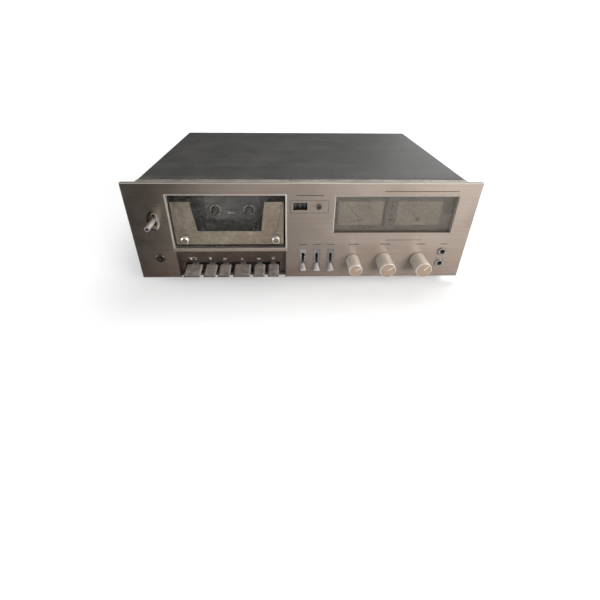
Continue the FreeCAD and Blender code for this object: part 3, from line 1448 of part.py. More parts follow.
def make_transformer():
    x = ("core_x - core_width / 2", "core_x + core_width / 2")
    y = ("front + core_depth - core_deep / 2", "front + core_depth + core_deep / 2")
    core = block("transformer_core", x, (f"{y[0]} + coil_margin", f"{y[1]} - coil_margin"),
                 ("pan_top", "pan_top + core_tall"))
    coil = block("transformer_coil", (f"{x[0]} + coil_margin", f"{x[1]} - coil_margin"), y,
                 ("pan_top + coil_margin", "pan_top + core_tall - coil_margin"))
    fuse("transformer", core, coil)


def make_sockets():
    """Line sockets on one plate, which sits against the inside of the rear panel."""
    body = new_body("line_sockets")
    half_wide = "(socket_pitch_wide / 2 + socket_plate_margin)"
    half_tall = "(socket_pitch_tall / 2 + socket_plate_margin)"
    plate = box_outline(f"socket_x - {half_wide}", f"socket_x + {half_wide}",
                        f"low + socket_height - {half_tall}", f"low + socket_height + {half_tall}")
    pad(body, "XZ", [plate], "rear_inner - socket_plate_thick", "rear_inner")
    barrels = [ring_outline(x, z, "socket_radius") for x, z in SOCKET_SPOTS]
    pad(body, "XZ", barrels, "rear_inner", "case_back + socket_reach")
    pins = [ring_outline(x, z, "socket_pin_radius") for x, z in SOCKET_SPOTS]
    pocket(body, "XZ", pins, "rear_face", "case_back + socket_reach")


def make_grommet():
    outline = [("grommet_bore_radius", "rear_inner - grommet_flange"),
               ("grommet_radius", "rear_inner - grommet_flange"),
               ("grommet_radius", "rear_inner"), ("grommet_neck_radius", "rear_inner"),
               ("grommet_neck_radius", "rear_face"), ("grommet_radius", "rear_face"),
               ("grommet_radius - grommet_taper", "rear_face + 2 * grommet_flange"),
               ("grommet_bore_radius", "rear_face + 2 * grommet_flange")]
    turned("cord_grommet", outline, "grommet_x", "low + grommet_height")


NODES = [
    "front_panel", "door_bezel", "key_panel", "front_subframe", "top_cover", "base_pan", "rear_panel", "feet",
    "case_screws", "transport_frame", "reel_trim_plate", "drive_motor", "flywheel_bracket", "drive_belt",
    "key_shaft", "power_switch", "lever_surrounds", "lever_switches", "level_controls", "microphone_jacks",
    "phones_jack", "meter_window", "meter_case", "meter_dials", "peak_lamps", "counter_frame", "main_board",
    "transformer", "line_sockets", "cord_grommet", "door_window", "door_plate", "door_studs",
    "cassette_holder",
    *("key_" + name for name in KEYS), "power_lever", *("selector_lever_" + name for name in LEVERS),
    *(name + "_knob" for name in KNOBS), "supply_spindle", "takeup_spindle", "capstan_flywheel",
    "motor_pulley", "head_bridge", "tape_heads", "pinch_roller", "reset_button",
    *("counter_wheel_" + name for name in WHEELS), "needle_left", "needle_right",
]


def make_all():
    make_front_panel()
    make_subframe()
    make_top_cover()
    make_base_pan()
    make_rear_panel()
    make_feet()
    make_screws()
    make_bezel()
    make_key_panel()
    make_door()
    make_holder()
    make_transport()
    make_trim_plate()
    make_spindle("supply_spindle", "supply_x")
    make_spindle("takeup_spindle", "takeup_x")
    make_capstan()
    make_motor()
    make_belt()
    make_bracket()
    make_bridge()
    group("tape_heads", [make_head("record_play_head", "reel_centre", "head_wide"),
                         make_head("erase_head", "reel_centre + erase_shift", "erase_wide")])
    make_roller()
    for name in KEYS:
        make_key(name)
    make_key_shaft()
    make_selectors()
    make_power()
    make_knobs()
    make_jacks()
    make_meters()
    group("meter_dials", [dial("dial_left", "dial_left_x"), dial("dial_right", "dial_right_x")])
    make_needle("left", "dial_left_x")
    make_needle("right", "dial_right_x")
    make_counter()
    make_board()
    make_transformer()
    make_sockets()
    make_grommet()


def check_all():
    """Stops with the names of failed features, cuts that removed nothing and empty or invalid pieces."""
    faults = []
    for item in doc.Objects:
        if {"Invalid", "Error"} & set(item.State):
            faults.append(f"{item.Name}: {item.State}")
        elif item.TypeId == "PartDesign::Pocket" and not item.Shape.isNull():
            if item.Shape.Volume > item.BaseFeature.Shape.Volume - 0.001:
                faults.append(f"{item.Name} cuts nothing")
    for name in NODES:
        shape = doc.getObject(name).Shape
        if shape.isNull() or not shape.isValid() or not shape.Solids:
            faults.append(f"{name}: empty or invalid")
    if faults:
        raise RuntimeError("; ".join(faults))


make_all()
doc.recompute()
check_all()
os.makedirs("parts", exist_ok=True)
for name in NODES:
    doc.getObject(name).Shape.exportStep(f"parts/{name}.step")
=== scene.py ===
"""The finish of a front-loading cassette deck: materials, printed marks and small fittings.

Everything is in metres, in the frame of the CAD model: +X to the right, +Y to the rear, +Z up.
"""
import json
import math

import bmesh
import bpy
from mathutils import Matrix, Vector
from mathutils.bvhtree import BVHTree


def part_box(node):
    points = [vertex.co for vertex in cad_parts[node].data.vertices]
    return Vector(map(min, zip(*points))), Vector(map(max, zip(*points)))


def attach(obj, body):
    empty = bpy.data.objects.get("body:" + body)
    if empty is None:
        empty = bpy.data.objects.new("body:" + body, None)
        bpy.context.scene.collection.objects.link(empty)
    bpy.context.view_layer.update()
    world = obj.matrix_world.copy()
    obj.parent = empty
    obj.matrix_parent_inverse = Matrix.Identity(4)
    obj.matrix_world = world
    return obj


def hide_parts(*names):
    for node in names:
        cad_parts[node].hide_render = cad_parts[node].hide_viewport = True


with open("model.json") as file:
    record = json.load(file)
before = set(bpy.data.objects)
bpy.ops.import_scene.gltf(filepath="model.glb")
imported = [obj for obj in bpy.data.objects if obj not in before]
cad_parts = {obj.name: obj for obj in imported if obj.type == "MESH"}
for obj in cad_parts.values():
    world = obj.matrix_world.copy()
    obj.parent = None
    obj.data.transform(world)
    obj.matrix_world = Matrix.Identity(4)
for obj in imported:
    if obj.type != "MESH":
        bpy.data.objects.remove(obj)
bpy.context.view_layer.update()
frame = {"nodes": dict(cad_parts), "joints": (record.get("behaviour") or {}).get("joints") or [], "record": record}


MM = 0.001
INK = 0.03 * MM
RIGHT = Vector((1, 0, 0))
BACK = Vector((0, 1, 0))


# ---------------------------------------------------------------- shaders

class Finish:
    """One Principled material, built up from textures in the object's own coordinates."""

    def __init__(self, name, **sockets):
        self.material = bpy.data.materials.new(name)
        self.material.use_nodes = True
        self.tree = self.material.node_tree
        self.shader = self.tree.nodes["Principled BSDF"]
        self.place = self.add("ShaderNodeTexCoord").outputs["Object"]
        self.set(**sockets)

    def add(self, kind, **settings):
        node = self.tree.nodes.new(kind)
        for word, value in settings.items():
            setattr(node, word, value)
        return node

    def feed(self, socket, value):
        """Links a node's output to a socket, or sets the socket to a number or colour."""
        if isinstance(value, bpy.types.NodeSocket):
            self.tree.links.new(value, socket)
        elif isinstance(value, tuple) and len(value) == 3 and socket.type == "RGBA":
            socket.default_value = (*value, 1)
        else:
            socket.default_value = value

    def set(self, **sockets):
        for word, value in sockets.items():
            self.feed(self.shader.inputs[word.replace("_", " ").title().replace("Ior", "IOR")], value)

    def noise(self, stretch, detail=3, seed=0.0):
        """Clouds from 0 to 1. Stretch is how many there are to a metre, along each axis."""
        if not isinstance(stretch, tuple):
            stretch = (stretch, stretch, stretch)
        mapping = self.add("ShaderNodeMapping")
        self.feed(mapping.inputs["Vector"], self.place)
        mapping.inputs["Scale"].default_value = stretch
        mapping.inputs["Location"].default_value = (seed, seed, seed)
        texture = self.add("ShaderNodeTexNoise")
        texture.inputs["Scale"].default_value = 1
        texture.inputs["Detail"].default_value = detail
        self.feed(texture.inputs["Vector"], mapping.outputs["Vector"])
        return texture.outputs["Fac"]

    def cells(self, size):
        """Distance to the middle of the nearest of many small cells."""
        texture = self.add("ShaderNodeTexVoronoi")
        texture.inputs["Scale"].default_value = size
        self.feed(texture.inputs["Vector"], self.place)
        return texture.outputs["Distance"]

    def spread(self, source, low, high, to_low=0.0, to_high=1.0):
        """Maps low..high of the source to to_low..to_high, and holds it there."""
        node = self.add("ShaderNodeMapRange", clamp=True)
        for word, value in (("Value", source), ("From Min", low), ("From Max", high),
                            ("To Min", to_low), ("To Max", to_high)):
            self.feed(node.inputs[word], value)
        return node.outputs["Result"]

    def calc(self, operation, first, second=0.0):
        node = self.add("ShaderNodeMath", operation=operation)
        self.feed(node.inputs[0], first)
        self.feed(node.inputs[1], second)
        return node.outputs["Value"]

    def blend(self, share, first, second):
        """A colour between two."""
        node = self.add("ShaderNodeMix", data_type="RGBA")
        self.feed(node.inputs["Factor"], share)
        self.feed(node.inputs["A"], first)
        self.feed(node.inputs["B"], second)
        return [output for output in node.outputs if output.type == "RGBA"][0]

    def upward(self):
        """1 on faces that look up, 0 on upright ones."""
        normal = self.add("ShaderNodeNewGeometry").outputs["Normal"]
        axes = self.add("ShaderNodeSeparateXYZ")
        self.feed(axes.inputs[0], normal)
        return self.spread(axes.outputs["Z"], 0.1, 0.9)

    def edges(self, reach):
        """1 along sharp edges and 0 on flat faces, from how far a rounded normal leans away."""
        rounded = self.add("ShaderNodeBevel", samples=4)
        rounded.inputs["Radius"].default_value = reach
        true = self.add("ShaderNodeNewGeometry").outputs["True Normal"]
        lean = self.add("ShaderNodeVectorMath", operation="DOT_PRODUCT")
        self.feed(lean.inputs[0], rounded.outputs["Normal"])
        self.feed(lean.inputs[1], true)
        return self.spread(lean.outputs["Value"], 0.995, 0.88)

    def bump(self, height, depth, strength=1.0):
        node = self.add("ShaderNodeBump")
        node.inputs["Strength"].default_value = strength
        node.inputs["Distance"].default_value = depth
        self.feed(node.inputs["Height"], height)
        previous = self.shader.inputs["Normal"]
        if previous.is_linked:
            self.feed(node.inputs["Normal"], previous.links[0].from_socket)
        self.feed(previous, node.outputs["Normal"])

    def grain_along(self, around, turn, amount):
        """Stretches the highlights across the brushing. Around is the tangent's axis."""
        tangent = self.add("ShaderNodeTangent", direction_type="RADIAL", axis=around)
        self.set(anisotropic=amount, anisotropic_rotation=turn)
        self.feed(self.shader.inputs["Tangent"], tangent.outputs["Tangent"])


DUST = (0.24, 0.215, 0.18)


def dusted(finish, colour, roughness, metal, amount, dust=DUST, size=70, seed=0.0):
    """Lays a film of dust on a finish, thicker in patches and on faces that look up."""
    patches = finish.spread(finish.noise(size, 5, seed), 0.35, 0.75)
    specks = finish.spread(finish.noise(size * 22, 2, seed + 3), 0.55, 0.8)
    film = finish.calc("MULTIPLY", finish.calc("ADD", patches, finish.calc("MULTIPLY", specks, 0.5)), amount)
    lying = finish.calc("MULTIPLY", finish.upward(), amount * 0.8)
    share = finish.calc("MINIMUM", finish.calc("ADD", film, lying), 0.9)
    finish.set(base_color=finish.blend(share, colour, dust))
    finish.set(roughness=finish.spread(share, 0, 1, roughness, 0.95))
    if metal:
        finish.set(metallic=finish.spread(share, 0, 0.9, metal, 0))
    return share


def bright_trim():
    """The plate behind the door's window: brushed, bright at its edges, brown with dust and stains."""
    finish = Finish("bright_trim", roughness=0.4)
    marks = finish.noise((8, 2200, 2200), 4)
    colour = finish.blend(finish.spread(marks, 0.3, 0.7), (0.44, 0.36, 0.27), (0.62, 0.52, 0.4))
    clouds = finish.spread(finish.noise(14, 5, 7), 0.45, 0.7)
    colour = finish.blend(finish.calc("MULTIPLY", clouds, 0.55), colour, (0.24, 0.18, 0.13))
    wear = finish.calc("MULTIPLY", finish.edges(0.5 * MM), finish.spread(finish.noise(300, 3), 0.3, 0.5))
    colour = finish.blend(wear, colour, (0.95, 0.92, 0.85))
    dusted(finish, colour, 0.4, 1.0, 0.5, dust=(0.1, 0.082, 0.065), size=170)
    finish.grain_along("Z", 0.25, 0.8)
    finish.bump(marks, 0.02 * MM, 0.5)
    return finish.material


def moulded(name, dark, light, roughness, dust=0.2, grain=2600, worn=None):
    """Moulded plastic or rubber with a fine grain."""
    finish = Finish(name, roughness=roughness)
    skin = finish.noise(grain, 2)
    colour = finish.blend(finish.spread(finish.noise(60, 4, 2), 0.35, 0.65), dark, light)
    if worn:
        wear = finish.calc("MULTIPLY", finish.edges(0.4 * MM), finish.spread(finish.noise(260, 3), 0.4, 0.6))
        colour = finish.blend(wear, colour, worn)
    dusted(finish, colour, roughness, 0, dust)
    finish.bump(skin, 0.03 * MM, 0.6)
    return finish.material


def plated(name, dark, light, roughness, dust=0.2, rust=None, grain=900, metal=1.0):
    """Plated or turned steel with tarnish, and specks of rust where it has any."""
    finish = Finish(name, roughness=roughness)
    tarnish = finish.spread(finish.noise(45, 5, 4), 0.35, 0.65)
    colour = finish.blend(tarnish, light, dark)
    if rust:
        specks = finish.spread(finish.noise(180, 6, 9), 0.6, 0.7)
        colour = finish.blend(specks, colour, rust)
    dusted(finish, colour, roughness, metal, dust)
    finish.bump(finish.noise(grain, 3), 0.015 * MM, 0.5)
    return finish.material


def panel_aluminium():
    """The front panel: aluminium brushed from side to side, gone brown and dull with age, with painted shade and
    painted highlights on the walls of its cut-outs and along its top edge.
    """
    finish = Finish("panel_aluminium", roughness=0.42)
    marks = finish.noise((6, 2500, 2500), 4)
    colour = finish.blend(finish.spread(marks, 0.3, 0.7), (0.32, 0.262, 0.22), (0.42, 0.35, 0.3))
    clouds = finish.spread(finish.noise(14, 5, 7), 0.45, 0.7)
    colour = finish.blend(finish.calc("MULTIPLY", clouds, 0.55), colour, (0.24, 0.2, 0.16))
    wear = finish.calc("MULTIPLY", finish.edges(0.5 * MM), finish.spread(finish.noise(300, 3), 0.3, 0.5))
    colour = finish.blend(wear, colour, (0.8, 0.74, 0.66))
    faces = finish.add("ShaderNodeSeparateXYZ")
    finish.feed(faces.inputs[0], finish.add("ShaderNodeNewGeometry").outputs["True Normal"])
    height = finish.add("ShaderNodeSeparateXYZ")
    finish.feed(height.inputs[0], finish.place)
    # Darker brown in clouds towards the bottom of the panel.
    lower_darkening = finish.calc("MULTIPLY", finish.spread(height.outputs["Z"], 62 * MM, 14 * MM, 0, 0.75),
                          finish.spread(finish.noise((9, 30, 30), 5, 13), 0.3, 0.65))
    colour = finish.blend(lower_darkening, colour, (0.24, 0.165, 0.13))
    inside = finish.spread(height.outputs["Z"], 136 * MM, 134 * MM)
    lying = finish.spread(faces.outputs["Z"], 0.4, 0.6)
    # Painted shade: the upward faces in the panel's cut-outs below its top edge, and the walls that look right,
    # are painted near black.
    shaded_walls = finish.calc("MAXIMUM", finish.calc("MULTIPLY", lying, inside),
                        finish.spread(faces.outputs["X"], 0.05, 0.25))
    colour = finish.blend(shaded_walls, colour, (0.05, 0.042, 0.036))
    # Painted highlight: the upward faces along the panel's top front edge, and the walls that look left, are
    # painted light and made less metallic so that the light colour shows.
    front_edge = finish.spread(height.outputs["Y"], panel_front + 1.6 * MM, panel_front + 1 * MM)
    sill = finish.calc("MULTIPLY", finish.calc("SUBTRACT", lying, inside), front_edge)
    painted_highlight = finish.calc("MAXIMUM", sill, finish.spread(faces.outputs["X"], -0.12, -0.3))
    colour = finish.blend(painted_highlight, colour, (0.5, 0.465, 0.41))
    share = dusted(finish, colour, 0.42, 1.0, 0.05)
    finish.set(metallic=finish.calc("SUBTRACT", finish.spread(share, 0, 0.9, 1, 0),
                                    finish.calc("MULTIPLY", painted_highlight, 0.6)))
    finish.grain_along("Z", 0.25, 0.8)
    finish.bump(marks, 0.02 * MM, 0.5)
    return finish.material


def case_paint():
    """The cover's dark grey paint: fine texture, wiping streaks and a grey film of dust."""
    finish = Finish("case_paint")
    mottle = finish.spread(finish.noise(30, 4), 0.3, 0.7)
    colour = finish.blend(mottle, (0.02, 0.021, 0.023), (0.035, 0.036, 0.037))
    streaks = finish.spread(finish.noise((5, 90, 90), 4, 1), 0.5, 0.75)
    colour = finish.blend(finish.calc("MULTIPLY", streaks, 0.35), colour, (0.1, 0.103, 0.107))
    grit = finish.spread(finish.noise(420, 4, 6), 0.42, 0.7)
    colour = finish.blend(finish.calc("MULTIPLY", grit, 0.5), colour, (0.085, 0.08, 0.07))
    fingers = finish.spread(finish.noise(38, 5, 15), 0.52, 0.7)
    colour = finish.blend(finish.calc("MULTIPLY", fingers, 0.3), colour, (0.012, 0.013, 0.015))
    worn = finish.calc("MULTIPLY", finish.edges(0.6 * MM), finish.spread(finish.noise(240, 4), 0.4, 0.6))
    colour = finish.blend(finish.calc("MULTIPLY", worn, 0.7), colour, (0.3, 0.3, 0.29))
    dusted(finish, colour, 0.45, 0, 0.14, dust=(0.13, 0.122, 0.1), size=22)
    finish.bump(finish.noise(2200, 3), 0.06 * MM, 0.6)
    return finish.material


def bezel_metal():
    """The frame round the door: a painted highlight along its top and sides, and a brown sill below."""
    finish = Finish("bezel_metal", roughness=0.3)
    marks = finish.noise((8, 2200, 2200), 4)
    height = finish.add("ShaderNodeSeparateXYZ")
    finish.feed(height.inputs[0], finish.place)
    sill = finish.blend(finish.spread(marks, 0.3, 0.7), (0.32, 0.25, 0.2), (0.44, 0.35, 0.285))
    # Painted highlight: from 54.2 mm up, blended over 0.4 mm, the frame takes a bright copy of its metal; the sill
    # below keeps the brown tone.
    painted_highlight = finish.blend(finish.spread(marks, 0.3, 0.7), (0.58, 0.52, 0.45), (0.76, 0.7, 0.61))
    colour = finish.blend(finish.spread(height.outputs["Z"], 54.2 * MM, 54.6 * MM), sill, painted_highlight)
    wear = finish.calc("MULTIPLY", finish.edges(0.6 * MM), finish.spread(finish.noise(260, 3), 0.2, 0.45))
    colour = finish.blend(wear, colour, (0.98, 0.92, 0.82))
    dusted(finish, colour, 0.3, 0.8, 0.1)
    finish.grain_along("Z", 0.25, 0.6)
    finish.bump(marks, 0.02 * MM, 0.5)
    return finish.material


def key_metal():
    """The keys: satin metal with dusty tops, a painted highlight on the faces that look right, and painted shade
    on the nose and the faces that look left.
    """
    finish = Finish("key_metal", roughness=0.38)
    axes = finish.add("ShaderNodeSeparateXYZ")
    finish.feed(axes.inputs[0], finish.add("ShaderNodeNewGeometry").outputs["True Normal"])
    marks = finish.noise((15, 1600, 1600), 4)
    colour = finish.blend(finish.spread(marks, 0.3, 0.7), (0.52, 0.45, 0.39), (0.72, 0.64, 0.56))
    # Painted highlight: faces that look right are painted near white.
    bevel_highlight = finish.spread(axes.outputs["X"], 0.45, 0.6)
    colour = finish.blend(bevel_highlight, colour, (0.82, 0.8, 0.75))
    # Painted shade: faces that look forward and faces that look left are painted near black.
    shade = finish.calc("MAXIMUM", finish.spread(axes.outputs["Y"], -0.6, -0.9),
                        finish.spread(axes.outputs["X"], -0.45, -0.6))
    colour = finish.blend(shade, colour, (0.06, 0.05, 0.045))
    wear = finish.calc("MULTIPLY", finish.edges(0.35 * MM), finish.spread(finish.noise(300, 3), 0.3, 0.5))
    colour = finish.blend(finish.calc("MULTIPLY", wear, 0.6), colour, (0.7, 0.67, 0.6))
    dusted(finish, colour, 0.36, 1.0, 0.6, dust=(0.12, 0.097, 0.08), size=150)
    finish.bump(marks, 0.02 * MM, 0.5)
    return finish.material


def turned_metal(name, side, face, side_sheen_metallic):
    """Satin metal turned on a lathe. Side and face are each a (dark, light) pair of colours: lit and shaded copies
    of one metal, with the sides painted lighter than the front face as a painted sheen.
    """
    finish = Finish(name, roughness=0.3)
    faces = finish.add("ShaderNodeSeparateXYZ")
    finish.feed(faces.inputs[0], finish.add("ShaderNodeNewGeometry").outputs["True Normal"])
    turned = finish.noise((1400, 40, 1400), 4)
    marks = finish.spread(turned, 0.3, 0.7)
    front = finish.spread(faces.outputs["Y"], -0.7, -0.9)
    colour = finish.blend(front, finish.blend(marks, *side), finish.blend(marks, *face))
    wear = finish.calc("MULTIPLY", finish.edges(0.5 * MM), finish.spread(finish.noise(300, 3), 0.2, 0.4))
    colour = finish.blend(wear, colour, (1, 0.95, 0.88))
    share = dusted(finish, colour, 0.3, 0, 0.04)
    # The sides are made less metallic, so that their painted sheen shows.
    finish.set(metallic=finish.calc("MULTIPLY", finish.spread(share, 0, 0.9, 1, 0),
                                    finish.spread(front, 0, 1, side_sheen_metallic, 0.8)))
    finish.grain_along("Y", 0, 0.3)
    finish.bump(turned, 0.02 * MM, 0.5)
    return finish.material


def rim_metal():
    """The sloping rim of the meter window, with a painted highlight where it looks left or up."""
    finish = Finish("rim_metal", roughness=0.25, metallic=0.5)
    faces = finish.add("ShaderNodeSeparateXYZ")
    finish.feed(faces.inputs[0], finish.add("ShaderNodeNewGeometry").outputs["True Normal"])
    sloping = finish.spread(faces.outputs["Y"], -0.3, -0.4)
    turned = finish.calc("MAXIMUM", finish.spread(faces.outputs["X"], -0.3, -0.4),
                         finish.spread(faces.outputs["Z"], 0.3, 0.4, 0, 0.45))
    grain = finish.noise(1500, 3)
    # Painted highlight: the sloping faces that look left, and more faintly those that look up, take the bright
    # colour; the rest take the dark brown.
    painted_highlight = finish.blend(finish.spread(grain, 0.3, 0.7), (0.82, 0.77, 0.7), (0.98, 0.94, 0.88))
    dull = finish.blend(finish.spread(grain, 0.3, 0.7), (0.2, 0.165, 0.14), (0.26, 0.215, 0.185))
    finish.set(base_color=finish.blend(finish.calc("MULTIPLY", sloping, turned), dull, painted_highlight))
    finish.bump(grain, 0.01 * MM, 0.4)
    return finish.material


def clear_acrylic():
    """The windows: clear plastic under a grey film of dust and fine scratches."""
    finish = Finish("clear_acrylic", roughness=0.12, specular_ior_level=0.6)
    film = finish.spread(finish.noise(240, 5, 2), 0.4, 0.75, 0.02, 0.2)
    scratches = finish.spread(finish.noise((60, 900, 900), 3, 5), 0.62, 0.72, 0.0, 0.08)
    specks = finish.spread(finish.noise(900, 3, 8), 0.6, 0.72, 0.0, 0.3)
    finish.set(base_color=finish.blend(film, (0.12, 0.115, 0.105), (0.2, 0.19, 0.165)))
    finish.set(alpha=finish.calc("ADD", film, finish.calc("ADD", scratches, specks)))
    return finish.material


def meter_glass():
    """The meter window: clear plastic with a thicker film of yellow-grey dust."""
    finish = Finish("meter_glass", roughness=0.2, specular_ior_level=0.5)
    film = finish.spread(finish.noise(50, 5, 11), 0.3, 0.75, 0.13, 0.33)
    specks = finish.spread(finish.noise(700, 3, 8), 0.52, 0.7, 0.0, 0.4)
    finish.set(base_color=finish.blend(film, (0.2, 0.172, 0.145), (0.32, 0.285, 0.235)))
    finish.set(alpha=finish.calc("ADD", film, specks))
    return finish.material


def dial_card():
    """The dial faces: card gone yellow-grey, with dust."""
    finish = Finish("dial_card", roughness=0.8)
    mottle = finish.spread(finish.noise(35, 5), 0.3, 0.7)
    colour = finish.blend(mottle, (0.22, 0.187, 0.13), (0.36, 0.315, 0.225))
    dusted(finish, colour, 0.8, 0, 0.45, dust=(0.18, 0.16, 0.135), size=240)
    return finish.material


def board_green():
    """The circuit board: green lacquer over copper tracks."""
    finish = Finish("board_green", roughness=0.35)
    tracks = finish.spread(finish.cells(160), 0.25, 0.3)
    colour = finish.blend(tracks, (0.03, 0.12, 0.06), (0.07, 0.2, 0.09))
    dusted(finish, colour, 0.35, 0, 0.3)
    return finish.material


def lamp_red():
    """A red lamp's lens, dull when it isn't lit."""
    finish = Finish("lamp_red", roughness=0.25, specular_ior_level=0.6, coat_weight=0.3)
    finish.set(base_color=finish.blend(finish.noise(900, 2), (0.05, 0.016, 0.02), (0.1, 0.03, 0.035)))
    return finish.material


def ink(name, colour):
    """Printing ink, rubbed thin in places."""
    finish = Finish(name, roughness=0.6)
    rubbed = finish.spread(finish.noise(1400, 3), 0.4, 0.7)
    finish.set(base_color=finish.blend(finish.calc("MULTIPLY", rubbed, 0.2), colour, (0.3, 0.27, 0.23)))
    return finish.material


def materials():
    """The material of each of the record's slots, and of the pieces made here."""
    return {
        "panel_aluminium": panel_aluminium(),
        "case_paint": case_paint(),
        "clear_acrylic": clear_acrylic(),
        "meter_glass": meter_glass(),
        "bezel_metal": bezel_metal(),
        "jack_metal": plated("jack_metal", (0.42, 0.4, 0.38), (0.66, 0.64, 0.61), 0.14, 0.06),
        "jack_brown": plated("jack_brown", (0.1, 0.078, 0.064), (0.2, 0.16, 0.135), 0.3, 0.1),
        "surround_chrome": plated("surround_chrome", (0.3, 0.3, 0.3), (0.5, 0.5, 0.49), 0.24, 0.15,
                                  rust=(0.12, 0.1, 0.09)),
        # Painted shade: the mechanism in the cassette well is given near-black steel so that the well reads dark.
        "inner_steel": plated("inner_steel", (0.07, 0.068, 0.064), (0.13, 0.126, 0.118), 0.42, 0.3,
                              rust=(0.1, 0.07, 0.05)),
        "meter_grey": moulded("meter_grey", (0.05, 0.042, 0.045), (0.085, 0.074, 0.078), 0.5, 0.2),
        "button_black": moulded("button_black", (0.012, 0.011, 0.01), (0.022, 0.02, 0.019), 0.28, 0.04,
                                worn=(0.7, 0.68, 0.64)),
        "dial_card": dial_card(),
        "board_green": board_green(),
        "lamp_red": lamp_red(),
        "bright_trim": bright_trim(),
        "trim_grey": moulded("trim_grey", (0.055, 0.052, 0.049), (0.1, 0.095, 0.088), 0.5, 0.28),
        "key_metal": key_metal(),
        "lever_metal": plated("lever_metal", (0.7, 0.68, 0.66), (0.9, 0.88, 0.85), 0.2, 0.06, metal=0.75),
        "knob_champagne": turned_metal("knob_champagne", ((0.72, 0.665, 0.59), (0.9, 0.845, 0.765)),
                                       ((0.5, 0.36, 0.265), (0.66, 0.49, 0.37)), 0.5),
        "rim_metal": rim_metal(),
        "stud_gold": turned_metal("stud_gold", ((0.8, 0.77, 0.7), (0.95, 0.93, 0.88)),
                                  ((0.22, 0.175, 0.13), (0.32, 0.265, 0.2)), 0.6),
        "chrome_fittings": plated("chrome_fittings", (0.6, 0.58, 0.55), (0.85, 0.83, 0.8), 0.2, 0.08,
                                  rust=(0.2, 0.13, 0.08)),
        "plated_steel": plated("plated_steel", (0.3, 0.28, 0.24), (0.46, 0.44, 0.4), 0.38, 0.25,
                               rust=(0.14, 0.08, 0.045)),
        "screw_steel": plated("screw_steel", (0.06, 0.058, 0.055), (0.12, 0.115, 0.11), 0.35, 0.15,
                              rust=(0.16, 0.08, 0.04)),
        "motor_steel": plated("motor_steel", (0.32, 0.31, 0.29), (0.5, 0.48, 0.45), 0.32, 0.15),
        "control_steel": plated("control_steel", (0.35, 0.34, 0.32), (0.55, 0.53, 0.5), 0.3, 0.15),
        "socket_metal": plated("socket_metal", (0.5, 0.48, 0.44), (0.72, 0.7, 0.65), 0.25, 0.2,
                               rust=(0.2, 0.14, 0.08)),
        "core_steel": plated("core_steel", (0.09, 0.085, 0.08), (0.16, 0.15, 0.14), 0.5, 0.2),
        "dark_moulding": moulded("dark_moulding", (0.04, 0.025, 0.018), (0.065, 0.043, 0.032), 0.4, 0.06,
                                 worn=(0.2, 0.15, 0.12)),
        "foot_plastic": moulded("foot_plastic", (0.02, 0.02, 0.02), (0.035, 0.034, 0.032), 0.55, 0.2),
        "belt_rubber": moulded("belt_rubber", (0.012, 0.012, 0.012), (0.02, 0.02, 0.02), 0.6, 0.1),
        "roller_rubber": moulded("roller_rubber", (0.02, 0.018, 0.017), (0.04, 0.036, 0.034), 0.6, 0.12),
        "felt_black": moulded("felt_black", (0.03, 0.024, 0.02), (0.055, 0.044, 0.036), 0.9, 0.3),
        "grommet_rubber": moulded("grommet_rubber", (0.015, 0.015, 0.015), (0.03, 0.029, 0.028), 0.6, 0.2),
        "spindle_plastic": moulded("spindle_plastic", (0.02, 0.019, 0.018), (0.04, 0.038, 0.036), 0.4, 0.2,
                                   worn=(0.3, 0.28, 0.25)),
        "counter_black": moulded("counter_black", (0.006, 0.006, 0.007), (0.012, 0.012, 0.013), 0.6, 0.02),
        "needle_paint": moulded("needle_paint", (0.02, 0.018, 0.016), (0.05, 0.045, 0.04), 0.5, 0.1),
        "dark_ink": ink("dark_ink", (0.014, 0.012, 0.011)),
        "pale_ink": ink("pale_ink", (0.8, 0.78, 0.72)),
        "faded_ink": ink("faded_ink", (0.13, 0.125, 0.115)),
        "grey_ink": ink("grey_ink", (0.33, 0.32, 0.29)),
        "red_ink": ink("red_ink", (0.2, 0.05, 0.04)),
        "black_insulator": moulded("black_insulator", (0.012, 0.012, 0.012), (0.025, 0.024, 0.023),
                                   0.45, 0.1),
        "white_insulator": moulded("white_insulator", (0.5, 0.48, 0.43), (0.62, 0.6, 0.54), 0.45, 0.2),
        "red_insulator": moulded("red_insulator", (0.3, 0.03, 0.025), (0.42, 0.05, 0.04), 0.45, 0.2),
    }


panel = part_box("front_panel")
panel_front = panel[0].y
panel_low = panel[0].z
look = materials()


# ---------------------------------------------------------------- places and shapes

def welded(node):
    """A CAD node's mesh with its corners joined, as a bmesh of its own."""
    bm = bmesh.new()
    bm.from_mesh(frame["nodes"][node].data)
    bmesh.ops.remove_doubles(bm, verts=bm.verts, dist=0.001 * MM)
    return bm


def solids(node):
    """The (low, high) boxes of a node's separate solids, from left to right."""
    bm = welded(node)
    left = set(bm.verts)
    boxes = []
    while left:
        island = set()
        front = [left.pop()]
        while front:
            vert = front.pop()
            island.add(vert)
            beside = {edge.other_vert(vert) for edge in vert.link_edges} & left
            left -= beside
            front.extend(beside)
        spots = [vert.co for vert in island]
        boxes.append((Vector(map(min, zip(*spots))), Vector(map(max, zip(*spots)))))
    bm.free()
    return sorted(boxes, key=lambda box: (round(box[0].x, 4), round(box[0].z, 4)))


def middle(box):
    return (box[0] + box[1]) / 2


def seen_from(node, x, z, way=BACK):
    """Where a straight look along Y at (x, z) meets a node, and the face's normal there."""
    bm = welded(node)
    tree = BVHTree.FromBMesh(bm)
    start = Vector((x, 0, z)) - way * 0.5
    spot, normal = tree.ray_cast(start, way)[:2]
    bm.free()
    return spot, normal


